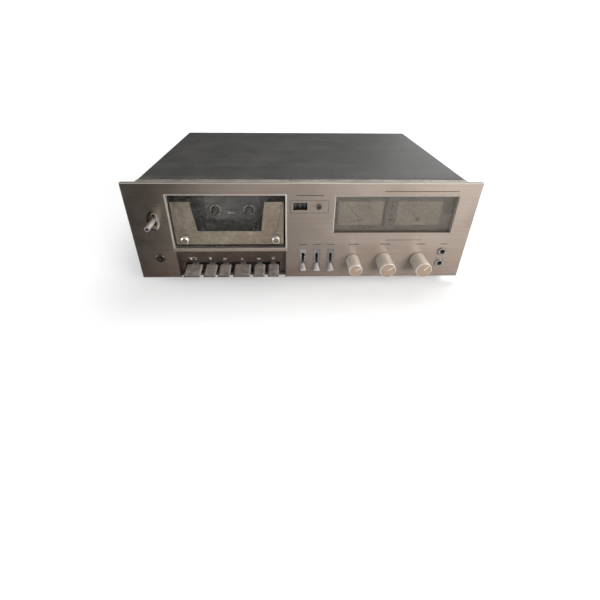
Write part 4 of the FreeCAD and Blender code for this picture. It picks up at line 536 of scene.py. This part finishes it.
def finished(name, bm, material, body, smooth=40):
    """Makes an object of a bmesh, with its material, riding on a body."""
    bmesh.ops.recalc_face_normals(bm, faces=bm.faces)
    mesh = bpy.data.meshes.new(name)
    bm.to_mesh(mesh)
    bm.free()
    mesh.materials.append(look[material])
    mesh.polygons.foreach_set("use_smooth", [True] * len(mesh.polygons))
    mesh.set_sharp_from_angle(angle=math.radians(smooth))
    piece = bpy.data.objects.new(name, mesh)
    bpy.context.scene.collection.objects.link(piece)
    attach(piece, body)
    return piece


def lathe(bm, centre, axis, profile, steps=40):
    """Turns a closed profile of (radius, distance along the axis) points into a ring or a plug."""
    axis = Vector(axis)
    across = axis.orthogonal().normalized()
    rings = []
    for radius, along in profile:
        if radius == 0:
            rings.append([bm.verts.new(centre + axis * along)])
            continue
        turns = [Matrix.Rotation(2 * math.pi * step / steps, 3, axis) @ across for step in range(steps)]
        rings.append([bm.verts.new(centre + axis * along + turn * radius) for turn in turns])
    for lower, upper in zip(rings, rings[1:] + rings[:1]):
        if len(lower) == 1 and len(upper) == 1:
            continue
        for step in range(steps):
            after = (step + 1) % steps
            corners = [lower[step % len(lower)], lower[after % len(lower)],
                       upper[after % len(upper)], upper[step % len(upper)]]
            bm.faces.new(list(dict.fromkeys(corners)))


class Print:
    """Thin ink shapes on a face. Across and rise are metres from its origin, along the face."""

    def __init__(self, origin, normal, wrap=None):
        self.bm = bmesh.new()
        self.origin = origin
        self.out = normal.normalized()
        self.across = RIGHT
        self.rise = self.out.cross(RIGHT).normalized()
        self.wrap = wrap

    def spot(self, across, rise, lift):
        if self.wrap is None:
            return self.origin + self.across * across + self.rise * rise + self.out * lift
        turn = rise / self.wrap
        arm = self.out * math.cos(turn) + self.rise * math.sin(turn)
        return self.origin + self.across * across + arm * (self.wrap + lift)

    def outline(self, points):
        """A closed shape from its corners, given in order, either way round."""
        low = [self.bm.verts.new(self.spot(*point, -INK)) for point in points]
        high = [self.bm.verts.new(self.spot(*point, INK)) for point in points]
        self.bm.faces.new(low)
        self.bm.faces.new(high[::-1])
        for start in range(len(points)):
            after = (start + 1) % len(points)
            self.bm.faces.new((low[start], low[after], high[after], high[start]))

    def bar(self, across, rise, wide, tall):
        """A bar about its middle."""
        self.outline([(across + side * wide / 2, rise + level * tall / 2)
                      for side, level in ((-1, -1), (1, -1), (1, 1), (-1, 1))])

    def frame(self, across, rise, wide, tall, line):
        """The four sides of an open rectangle."""
        for level in (-1, 1):
            self.bar(across, rise + level * (tall - line) / 2, wide, line)
        for side in (-1, 1):
            self.bar(across + side * (wide - line) / 2, rise, line, tall - 2 * line)

    def disc(self, across, rise, radius, steps=20):
        self.outline([(across + radius * math.cos(2 * math.pi * step / steps),
                       rise + radius * math.sin(2 * math.pi * step / steps)) for step in range(steps)])

    def triangle(self, across, rise, wide, tall, facing=1):
        """A triangle that points along across, the way that facing says."""
        self.outline([(across - facing * wide / 2, rise - tall / 2), (across + facing * wide / 2, rise),
                      (across - facing * wide / 2, rise + tall / 2)])

    def ray(self, across, rise, angle, near, far, wide):
        """A tick that runs outwards from a centre, at an angle from straight up."""
        along = Vector((math.sin(angle), math.cos(angle)))
        side = Vector((along.y, -along.x)) * wide / 2
        centre = Vector((across, rise))
        self.outline([tuple(centre + along * near - side), tuple(centre + along * near + side),
                      tuple(centre + along * far + side), tuple(centre + along * far - side)])

    def arc(self, across, rise, radius, wide, start, end, steps=24):
        """Part of a ring, between two angles from straight up."""
        turns = [start + (end - start) * step / steps for step in range(steps + 1)]
        outer = [(across + (radius + wide / 2) * math.sin(turn), rise + (radius + wide / 2) * math.cos(turn))
                 for turn in turns]
        inner = [(across + (radius - wide / 2) * math.sin(turn), rise + (radius - wide / 2) * math.cos(turn))
                 for turn in turns]
        self.outline(outer + inner[::-1])

    def words(self, text, across, rise, tall, turn=0.0):
        """Plain figures, about their middle."""
        curve = bpy.data.curves.new("figures", "FONT")
        curve.body = text
        curve.size = tall * 1.4
        curve.align_x = "CENTER"
        curve.align_y = "CENTER"
        curve.resolution_u = 3
        curve.extrude = INK
        carrier = bpy.data.objects.new("figures", curve)
        mesh = bpy.data.meshes.new_from_object(carrier)
        part = bmesh.new()
        part.from_mesh(mesh)
        bmesh.ops.remove_doubles(part, verts=part.verts, dist=0.0005 * MM)
        if self.wrap:
            for level in range(-4, 5):
                cut = bmesh.ops.bisect_plane
                cut(part, geom=part.verts[:] + part.edges[:] + part.faces[:],
                    plane_co=(0, level * tall / 8, 0), plane_no=(0, 1, 0))
        turned = Matrix.Rotation(-turn, 3, "Z")
        copies = {}
        for vert in part.verts:
            place = turned @ vert.co
            copies[vert] = self.bm.verts.new(self.spot(across + place.x, rise + place.y, place.z))
        for face in part.faces:
            self.bm.faces.new([copies[vert] for vert in face.verts])
        part.free()
        bpy.data.objects.remove(carrier)
        bpy.data.curves.remove(curve)
        bpy.data.meshes.remove(mesh)

    def done(self, name, material, body, slot=None):
        return finished(name, self.bm, material, body)


# ---------------------------------------------------------------- the CAD pieces

for part in frame["record"]["subparts"]:
    slots = frame["nodes"][part["node"]].data.materials
    for index in range(len(slots)):
        slots[index] = look[part["material_slot"]]

OWN_LOOKS = {"meter_window": "meter_glass", "door_bezel": "bezel_metal", "door_studs": "stud_gold",
             "power_lever": "lever_metal", "reset_button": "button_black",
             "phones_jack": "jack_brown", "microphone_jacks": "jack_metal", "transport_frame": "inner_steel",
             "head_bridge": "inner_steel", "cassette_holder": "inner_steel",
             "meter_case": "meter_grey", "lever_surrounds": "surround_chrome"}
for node, material in OWN_LOOKS.items():
    frame["nodes"][node].data.materials[0] = look[material]

panel_mid = middle(panel)


# ---------------------------------------------------------------- printed marks

def panel_face(x, z):
    """A print on the front panel, with its origin at (x, z)."""
    return Print(Vector((x, panel_front, z)), -BACK)


def panel_print():
    """Everything printed in dark ink on the panel. Thin plain lines stand in the places of words."""
    sheet = panel_face(0, 0)
    line = 1 * MM
    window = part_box("meter_window")
    sheet.bar(window[0].x + 101 * MM, window[1].z + 6.5 * MM, 88 * MM, 0.9 * MM)
    print_counter(sheet, line)
    for box in solids("lever_surrounds"):
        print_lever(sheet, box)
    for node in ("output_knob", "record_left_knob", "record_right_knob"):
        print_knob(sheet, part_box(node))
    left, right = middle(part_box("record_left_knob")), middle(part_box("record_right_knob"))
    sheet.bar((left.x + right.x) / 2, left.z + 28.5 * MM, 46 * MM, 0.7 * line)
    print_jacks(sheet, line)
    sheet.done("panel_print", "dark_ink", "chassis")


def print_counter(sheet, line):
    """A thin box round the tape counter and its reset button, and a line over it."""
    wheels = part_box("counter_wheel_hundreds")[0].x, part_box("counter_wheel_units")[1].x
    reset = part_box("reset_button")
    level = middle(reset).z
    left = wheels[0] - 4 * MM
    right = reset[1].x + 8.5 * MM
    sheet.frame((left + right) / 2, level - 0.4 * MM, right - left, 16.5 * MM, 0.45 * MM)
    sheet.bar((left + right) / 2, level + 14 * MM, 32 * MM, line)
    sheet.bar(reset[0].x - 3.4 * MM, level, 3.6 * MM, 0.35 * MM)


def print_lever(sheet, box):
    """The marks of a selector's places, beside its surround, and a line over it."""
    centre = middle(box)
    sheet.bar(centre.x, box[1].z + 7 * MM, 9.5 * MM, 1 * MM)
    for rise in (9.6, -0.6, -10.4):
        for side in (-1, 1):
            sheet.bar(centre.x + side * 6.7 * MM, centre.z + rise * MM, 1.9 * MM, 0.35 * MM)


def print_knob(sheet, box):
    """The scale round a level knob: ticks from 0 to 10, and a line over it."""
    centre = middle(box)
    radius = (box[1].x - box[0].x) / 2
    for step in range(11):
        angle = math.radians(-150 + 30 * step)
        long = 1.5 if step in (0, 5, 10) else 0.9
        sheet.ray(centre.x, centre.z, angle, radius + 2.2 * MM, radius + (2.2 + long) * MM, 0.4 * MM)
    for text, angle in (("0", -150), ("10", 150)):
        reach = radius + 5.4 * MM
        turn = math.radians(angle)
        sheet.words(text, centre.x + reach * math.sin(turn), centre.z + reach * math.cos(turn), 1.6 * MM)
    sheet.bar(centre.x, centre.z + 22.5 * MM, 13 * MM, 1 * MM)


def print_jacks(sheet, line):
    """Letters L and R beside the microphone jacks, and lines where the names of the fittings would be."""
    jacks = sorted(solids("microphone_jacks"), key=lambda box: -middle(box).z)
    for letter, box in zip(("L", "R"), jacks):
        sheet.words(letter, box[1].x + 3.2 * MM, middle(box).z, 1.7 * MM)
    top = middle(jacks[0])
    sheet.bar(top.x, top.z + 10.6 * MM, 9 * MM, line)
    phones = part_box("phones_jack")
    sheet.bar(middle(phones).x + 2 * MM, phones[1].z + 5.4 * MM, 21 * MM, line)
    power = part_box("power_lever")
    slot_level = panel_low + 83 * MM
    sheet.bar(middle(power).x, slot_level + 19.3 * MM, 14 * MM, line)
    sheet.words("ON", middle(power).x, slot_level + 15.4 * MM, 1.7 * MM)
    sheet.words("OFF", middle(power).x, slot_level - 15.6 * MM, 1.7 * MM)


def key_symbols():
    """The transport signs in pale ink on the sloping panel over the keys."""
    names = ("stop", "record", "rewind", "play", "forward", "pause")
    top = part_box("key_play")[1].z
    slope, normal = seen_from("key_panel", middle(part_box("key_play")).x, top + 10 * MM)
    sheet = Print(Vector((0, slope.y, slope.z)), normal)
    size = 2.6 * MM
    for name in names:
        x = middle(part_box("key_" + name)).x
        if name == "stop":
            sheet.bar(x - 2.6 * MM, 0, size, size)
            sheet.bar(x + 3.6 * MM, -0.4 * size, size, 0.2 * size)
            sheet.outline([(x + 3.6 * MM - size / 2, -0.15 * size), (x + 3.6 * MM + size / 2, -0.15 * size),
                           (x + 3.6 * MM, size / 2)])
        elif name == "record":
            sheet.disc(x, 0, size / 2)
        elif name == "pause":
            for side in (-1, 1):
                sheet.bar(x + side * 0.32 * size, 0, 0.28 * size, size)
        else:
            facing = -1 if name == "rewind" else 1
            shifts = (0,) if name == "play" else (-0.42, 0.42)
            for shift in shifts:
                sheet.triangle(x + shift * size, 0, 0.8 * size, size, facing)
            sheet.bar(x, -0.95 * size, 1.5 * size, 0.12 * size)
        if name in ("stop", "record", "pause"):
            wide = 11 * MM if name == "stop" else 5 * MM
            sheet.bar(x, 1.15 * size, wide, 0.16 * size)
    sheet.done("key_symbols", "pale_ink", "chassis")


def counter_digits():
    """Ten figures round each of the counter's three wheels. At rest they read 0 4 7."""
    for word, shown in (("hundreds", 0), ("tens", 4), ("units", 7)):
        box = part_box("counter_wheel_" + word)
        centre = middle(box)
        radius = (box[1].z - box[0].z) / 2
        sheet = Print(centre, -BACK, wrap=radius)
        for figure in range(10):
            turn = (figure - shown) * 2 * math.pi / 10
            sheet.words(str(figure), 0, -turn * radius, 3.1 * MM)
        sheet.done("counter_figures_" + word, "faded_ink", "counter_" + word)


def dial_print():
    """The level scales on both dial cards, with figures, and the red stretch over 0."""
    marks = ((-40, "20"), (-24, "10"), (-11, "5"), (2, "3"), (14, "0"), (27, "3"), (40, "5"))
    pivots = {joint["name"]: joint["pos_m"] for joint in frame["joints"]
              if joint["child"].startswith("needle_arm")}
    for word in ("left", "right"):
        pivot = pivots["needle_" + word + "_swing"]
        radius = 19 * MM
        card = seen_from("meter_dials", pivot[0] + 10 * MM, pivot[2] + 5 * MM)[0]
        dark = Print(Vector((pivot[0], card.y, pivot[2])), -BACK)
        red = Print(dark.origin, -BACK)
        dark.arc(0, 0, radius, 0.35 * MM, math.radians(-42), math.radians(14))
        red.arc(0, 0, radius + 0.4 * MM, 1.1 * MM, math.radians(14), math.radians(42))
        for angle, text in marks:
            sheet = red if angle > 14 else dark
            turn = math.radians(angle)
            sheet.ray(0, 0, turn, radius, radius + 1.8 * MM, 0.3 * MM)
            reach = radius + 3.2 * MM
            sheet.words(text, reach * math.sin(turn), reach * math.cos(turn), 1.7 * MM, turn)
        for angle in (-34, -29, -17, -4, 8, 20, 33):
            sheet = red if angle > 14 else dark
            sheet.ray(0, 0, math.radians(angle), radius, radius + 1 * MM, 0.22 * MM)
        dark.done("dial_scale_" + word, "dark_ink", "chassis")
        red.done("dial_red_" + word, "red_ink", "chassis")


def well_print():
    """The bar and arrow printed between the reels, and pale marks round each reel's flange."""
    supply, takeup = middle(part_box("supply_spindle")), middle(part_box("takeup_spindle"))
    half = (takeup.x - supply.x) / 2
    face = seen_from("reel_trim_plate", supply.x + half, supply.z)[0]
    pale = Print(Vector((supply.x + half, face.y, supply.z)), -BACK)
    pale.triangle(-5.6 * MM, -4.6 * MM, 4.4 * MM, 4.6 * MM, -1)
    pale.bar(-0.6 * MM, -4.6 * MM, 6 * MM, 1.5 * MM)
    pale.done("tape_arrow", "grey_ink", "chassis")
    dark = Print(pale.origin, -BACK)
    dark.bar(0, 0, 19 * MM, 1.8 * MM)
    dark.done("tape_bar", "button_black", "chassis")
    for word, centre in (("supply", supply), ("takeup", takeup)):
        flange = seen_from(word + "_spindle", centre.x + 6.4 * MM, centre.z)[0]
        ring = Print(Vector((centre.x, flange.y, centre.z)), -BACK)
        for turn in (0, 120, 240):
            ring.arc(0, 0, 6.7 * MM, 1.3 * MM, math.radians(turn + 8), math.radians(turn + 112))
        ring.done(word + "_flange_marks", "grey_ink", word + "_reel")


panel_print()
key_symbols()
counter_digits()
dial_print()
well_print()


# ---------------------------------------------------------------- small fittings

def jack_linings():
    """The dark insulators inside the three jacks."""
    for name, node in (("microphone", "microphone_jacks"), ("phones", "phones_jack")):
        bm = bmesh.new()
        for box in solids(node):
            centre = middle(box)
            mouth = Vector((centre.x, panel_front, centre.z))
            lathe(bm, mouth, BACK, [(3.1 * MM, 0), (2.4 * MM, 0.4 * MM), (2.4 * MM, 9 * MM), (0, 9 * MM),
                                    (0, 10 * MM), (3.1 * MM, 10 * MM)], 28)
        finished(name + "_jack_lining", bm, "black_insulator", "chassis")


def knob_pointers():
    """A bright strip in the groove across each knob's face."""
    for word in ("output", "record_left", "record_right"):
        node = word + "_knob"
        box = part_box(node)
        floor = box[0].y + 0.35 * MM
        bm = welded(node)
        spots = [vert.co.copy() for vert in bm.verts if abs(vert.co.y - floor) < 0.05 * MM]
        bm.free()
        centre = Vector((middle(box).x, floor, middle(box).z))
        reach = max(spots, key=lambda spot: (spot - centre).length) - centre
        aim = sum(spots, Vector()) / len(spots) - centre
        sheet = Print(centre, -BACK)
        sheet.ray(0, 0, math.atan2(aim.x, aim.z), 0.3 * MM, reach.length - 0.4 * MM, 0.8 * MM)
        sheet.done(node + "_pointer", "pale_ink", word + "_control")


def lever_end():
    """The dark inlay in the end of the power lever."""
    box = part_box("power_lever")
    tip = Vector((middle(box).x, box[0].y, middle(box).z))
    bm = bmesh.new()
    lathe(bm, tip, BACK, [(0, -0.25 * MM), (1.9 * MM, -0.25 * MM), (2.3 * MM, 0), (2.3 * MM, 0.3 * MM),
                          (0, 0.3 * MM)], 28)
    finished("power_lever_inlay", bm, "button_black", "power_arm")


def key_bay_seal():
    """A dark strip that closes the gap under the keys, from the key panel's ledge to the pan, put there as painted
    shade so that the gaps between the keys read dark.
    """
    ledge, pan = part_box("key_panel"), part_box("base_pan")
    front, rear = ledge[1].y + 0.05 * MM, pan[0].y - 0.05 * MM
    low = pan[0].z + 0.1 * MM
    profile = [(front, low), (rear, low), (rear, low + 2.2 * MM), (rear - 0.9 * MM, low + 2.2 * MM),
               (rear - 1.3 * MM, low + 1.2 * MM), (front, low + 1.2 * MM)]
    bm = bmesh.new()
    ends = [[bm.verts.new((x, y, z)) for y, z in profile] for x in (ledge[0].x + 2 * MM, ledge[1].x - 2 * MM)]
    for end in ends:
        bm.faces.new(end)
    for start in range(len(profile)):
        after = (start + 1) % len(profile)
        bm.faces.new((ends[0][start], ends[0][after], ends[1][after], ends[1][start]))
    finished("key_bay_seal", bm, "felt_black", "chassis")


def window_rim():
    """A thin rim round the meter window, a little proud of the panel."""
    low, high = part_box("meter_window")
    bm = bmesh.new()
    loops = []
    for grown, y in ((1.3, 0.0), (0.2, -1.1), (0.0, -1.1), (0.0, 0.0)):
        step = grown * MM
        corners = [(low.x - step, low.z - step), (high.x + step, low.z - step),
                   (high.x + step, high.z + step), (low.x - step, high.z + step)]
        loops.append([bm.verts.new((x, panel_front + y * MM, z)) for x, z in corners])
    for inner, outer in zip(loops, loops[1:] + loops[:1]):
        for start in range(4):
            after = (start + 1) % 4
            bm.faces.new((inner[start], inner[after], outer[after], outer[start]))
    finished("meter_window_rim", bm, "rim_metal", "chassis")


HEAD_TALL = 1.9 * MM


def screw_heads():
    """The case screws, with domed heads and cross recesses, in place of the CAD's plain ones."""
    bm = bmesh.new()
    for low, high in solids("case_screws"):
        size = high - low
        along = max(range(3), key=lambda axis: size[axis])
        centre = (low + high) / 2
        outward = Vector((0, 0, -1)) if along == 2 else Vector((0, 1, 0)) if along == 1 else \
            Vector((math.copysign(1, centre.x), 0, 0))
        end = centre + outward * (size[along] / 2 - HEAD_TALL)
        one_screw(bm, end, outward)
    piece = finished("case_screw_set", bm, "screw_steel", "chassis")
    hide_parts("case_screws")


def one_screw(bm, seat, outward):
    """A pan head on its seat, with a cross recess and a plain shank behind it."""
    across = outward.orthogonal().normalized()
    other = outward.cross(across)
    head, shank, arm, half = 3 * MM, 1.5 * MM, 1.9 * MM, 0.45 * MM
    shank_long, rim_tall, recess_floor = 7 * MM, 0.9 * MM, 0.9 * MM
    steps = 32

    def spot(flat, height):
        return bm.verts.new(seat + across * flat[0] + other * flat[1] + outward * height)

    def ring(radius, height):
        turns = [2 * math.pi * step / steps for step in range(steps)]
        return [spot((radius * math.cos(turn), radius * math.sin(turn)), height) for turn in turns]

    rings = [ring(shank, -shank_long), ring(shank, 0), ring(head, 0), ring(head, rim_tall),
             ring(2.75 * MM, 1.5 * MM), ring(2.2 * MM, HEAD_TALL)]
    bm.faces.new(rings[0])
    for lower, upper in zip(rings, rings[1:]):
        for step in range(steps):
            after = (step + 1) % steps
            bm.faces.new((lower[step], lower[after], upper[after], upper[step]))
    corners = [(arm, -half), (arm, half), (half, half), (half, arm), (-half, arm), (-half, half),
               (-arm, half), (-arm, -half), (-half, -half), (-half, -arm), (half, -arm), (half, -half)]
    mouth = [spot(corner, HEAD_TALL) for corner in corners]
    floor = [spot((corner[0] * 0.7, corner[1] * 0.7), recess_floor) for corner in corners]
    edges = [bm.edges.get((rings[-1][step], rings[-1][(step + 1) % steps])) for step in range(steps)]
    sides = len(corners)
    edges += [bm.edges.new((mouth[step], mouth[(step + 1) % sides])) for step in range(sides)]
    bmesh.ops.triangle_fill(bm, use_beauty=True, edges=edges)
    for step in range(sides):
        after = (step + 1) % sides
        bm.faces.new((mouth[step], mouth[after], floor[after], floor[step]))
    bm.faces.new(floor)


def rear_rims(node):
    """The middles of the round rims at the rear end of a node, from left to right."""
    bm = welded(node)
    far = max(vert.co.y for vert in bm.verts)
    left = {vert for vert in bm.verts if vert.co.y > far - 0.05 * MM}
    rims = []
    while left:
        spots = []
        front = [left.pop()]
        while front:
            vert = front.pop()
            spots.append(vert.co.copy())
            beside = {edge.other_vert(vert) for edge in vert.link_edges} & left
            left -= beside
            front.extend(beside)
        rims.append(middle((Vector(map(min, zip(*spots))), Vector(map(max, zip(*spots))))))
    bm.free()
    return sorted(rims, key=lambda rim: (round(rim.x, 3), round(rim.z, 3)))


def socket_rings():
    """White and red insulators in the line sockets on the rear, white for the upper ones."""
    rims = rear_rims("line_sockets")
    level = sum(rim.z for rim in rims) / len(rims)
    for word, upper in (("white", True), ("red", False)):
        bm = bmesh.new()
        for rim in rims:
            if (rim.z > level) == upper:
                lathe(bm, rim, -BACK, [(3.4 * MM, 0.6 * MM), (1.7 * MM, 0.6 * MM), (1.7 * MM, 3 * MM),
                                       (3.4 * MM, 3 * MM)], 28)
        finished("line_socket_" + word, bm, word + "_insulator", "chassis")


jack_linings()
knob_pointers()
lever_end()
window_rim()
key_bay_seal()
screw_heads()
socket_rings()


# ---------------------------------------------------------------- stage, light and camera

def studio_floor():
    """A pale floor that curves up into a wall far behind. Reflections see it dark except for a pale stretch in
    front, a painted reflection, and the camera sees it glow.
    """
    depth, wide, bend, tall = 5.0, 14.0, 2.0, 6.0
    rows = [(-4.0, 0.0), (depth, 0.0)]
    rows += [(depth + bend * math.sin(angle), bend - bend * math.cos(angle))
             for angle in (math.radians(step) for step in range(10, 91, 10))]
    rows.append((depth + bend, tall))
    bm = bmesh.new()
    lines = [[bm.verts.new((side * wide / 2, y, z)) for side in (-1, 1)] for y, z in rows]
    for near, far in zip(lines, lines[1:]):
        bm.faces.new((near[0], near[1], far[1], far[0]))
    mesh = bpy.data.meshes.new("studio_floor")
    bm.to_mesh(mesh)
    bm.free()
    finish = Finish("studio_floor", roughness=0.9, specular_ior_level=0.1)
    mirrored = finish.add("ShaderNodeLightPath").outputs["Is Glossy Ray"]
    pale = finish.blend(finish.noise(3, 2), (0.84, 0.84, 0.84), (0.88, 0.88, 0.88))
    away = finish.add("ShaderNodeSeparateXYZ")
    finish.feed(away.inputs[0], finish.place)
    # Painted reflection: rays reflected off the deck see the floor dark, except a pale stretch in front of it that
    # fades out towards the panel's left end, so the panel reflects darker on its left.
    bright = finish.spread(away.outputs["X"], -0.24, -0.16)
    near = finish.spread(away.outputs["Y"], 0.1, 0.0)
    mirror = finish.blend(finish.calc("MULTIPLY", bright, near), (0.05, 0.05, 0.05), (0.55, 0.55, 0.55))
    finish.set(base_color=finish.blend(mirrored, pale, mirror), emission_color=(1, 1, 1))
    # The floor glows for the camera alone, more towards the back, so that it reads white.
    seen = finish.add("ShaderNodeLightPath").outputs["Is Camera Ray"]
    rise = finish.spread(away.outputs["Y"], 0.3, 1.6, 0.22, 1)
    finish.set(emission_strength=finish.calc("MULTIPLY", rise, seen))
    mesh.materials.append(finish.material)
    mesh.polygons.foreach_set("use_smooth", [True] * len(mesh.polygons))
    floor = bpy.data.objects.new("studio_floor", mesh)
    bpy.context.scene.collection.objects.link(floor)


def softbox(name, place, aim, size, power, colour=(1, 1, 1)):
    light = bpy.data.lights.new(name, "AREA")
    light.shape = "RECTANGLE"
    light.size, light.size_y = size
    light.energy = power
    light.color = colour
    lamp = bpy.data.objects.new(name, light)
    lamp.location = place
    lamp.rotation_euler = (Vector(aim) - Vector(place)).to_track_quat("-Z", "Y").to_euler()
    bpy.context.scene.collection.objects.link(lamp)


def light_up():
    world = bpy.data.worlds.new("studio")
    world.use_nodes = True
    sky = world.node_tree.nodes["Background"]
    sky.inputs["Color"].default_value = (0.95, 0.97, 1, 1)
    sky.inputs["Strength"].default_value = 0.16
    bpy.context.scene.world = world
    heart = (0, 0, 0.07)
    softbox("key_light", (0.88, -1.32, 0.7), heart, (1.5, 1.0), 25)
    softbox("fill_light", (-0.32, -1.85, 0.62), heart, (0.46, 0.9), 3.4)
    softbox("top_light", (0.6, 0.7, 1.7), heart, (1.6, 1.2), 24)
    softbox("rear_light", (1.4, 2.0, 0.5), heart, (1.2, 0.8), 10)
    softbox("side_light", (-1.5, -0.2, 0.3), heart, (0.7, 0.6), 12)


def place_camera():
    """The camera stands close in front of the panel, a little left of its middle, and looks down at it."""
    lens = bpy.data.cameras.new("camera")
    lens.lens = 20.33
    lens.sensor_width = 36
    lens.shift_x = 0.0095
    lens.shift_y = -0.0845
    lens.clip_start = 0.01
    lens.clip_end = 50
    down, aside, tilt = (math.radians(angle) for angle in (30.9, 1.58, 0.59))
    camera = bpy.data.objects.new("camera", lens)
    place = Vector((panel_mid.x - 20.1 * MM, panel_front - 371.2 * MM, panel_low + 265.1 * MM))
    turn = Matrix.Rotation(-aside, 4, "Z") @ Matrix.Rotation(math.pi / 2 - down, 4, "X")
    camera.matrix_world = Matrix.Translation(place) @ turn @ Matrix.Rotation(tilt, 4, "Z")
    bpy.context.scene.collection.objects.link(camera)
    bpy.context.scene.camera = camera


studio_floor()
light_up()
place_camera()
bpy.context.scene.view_settings.view_transform = "Standard"
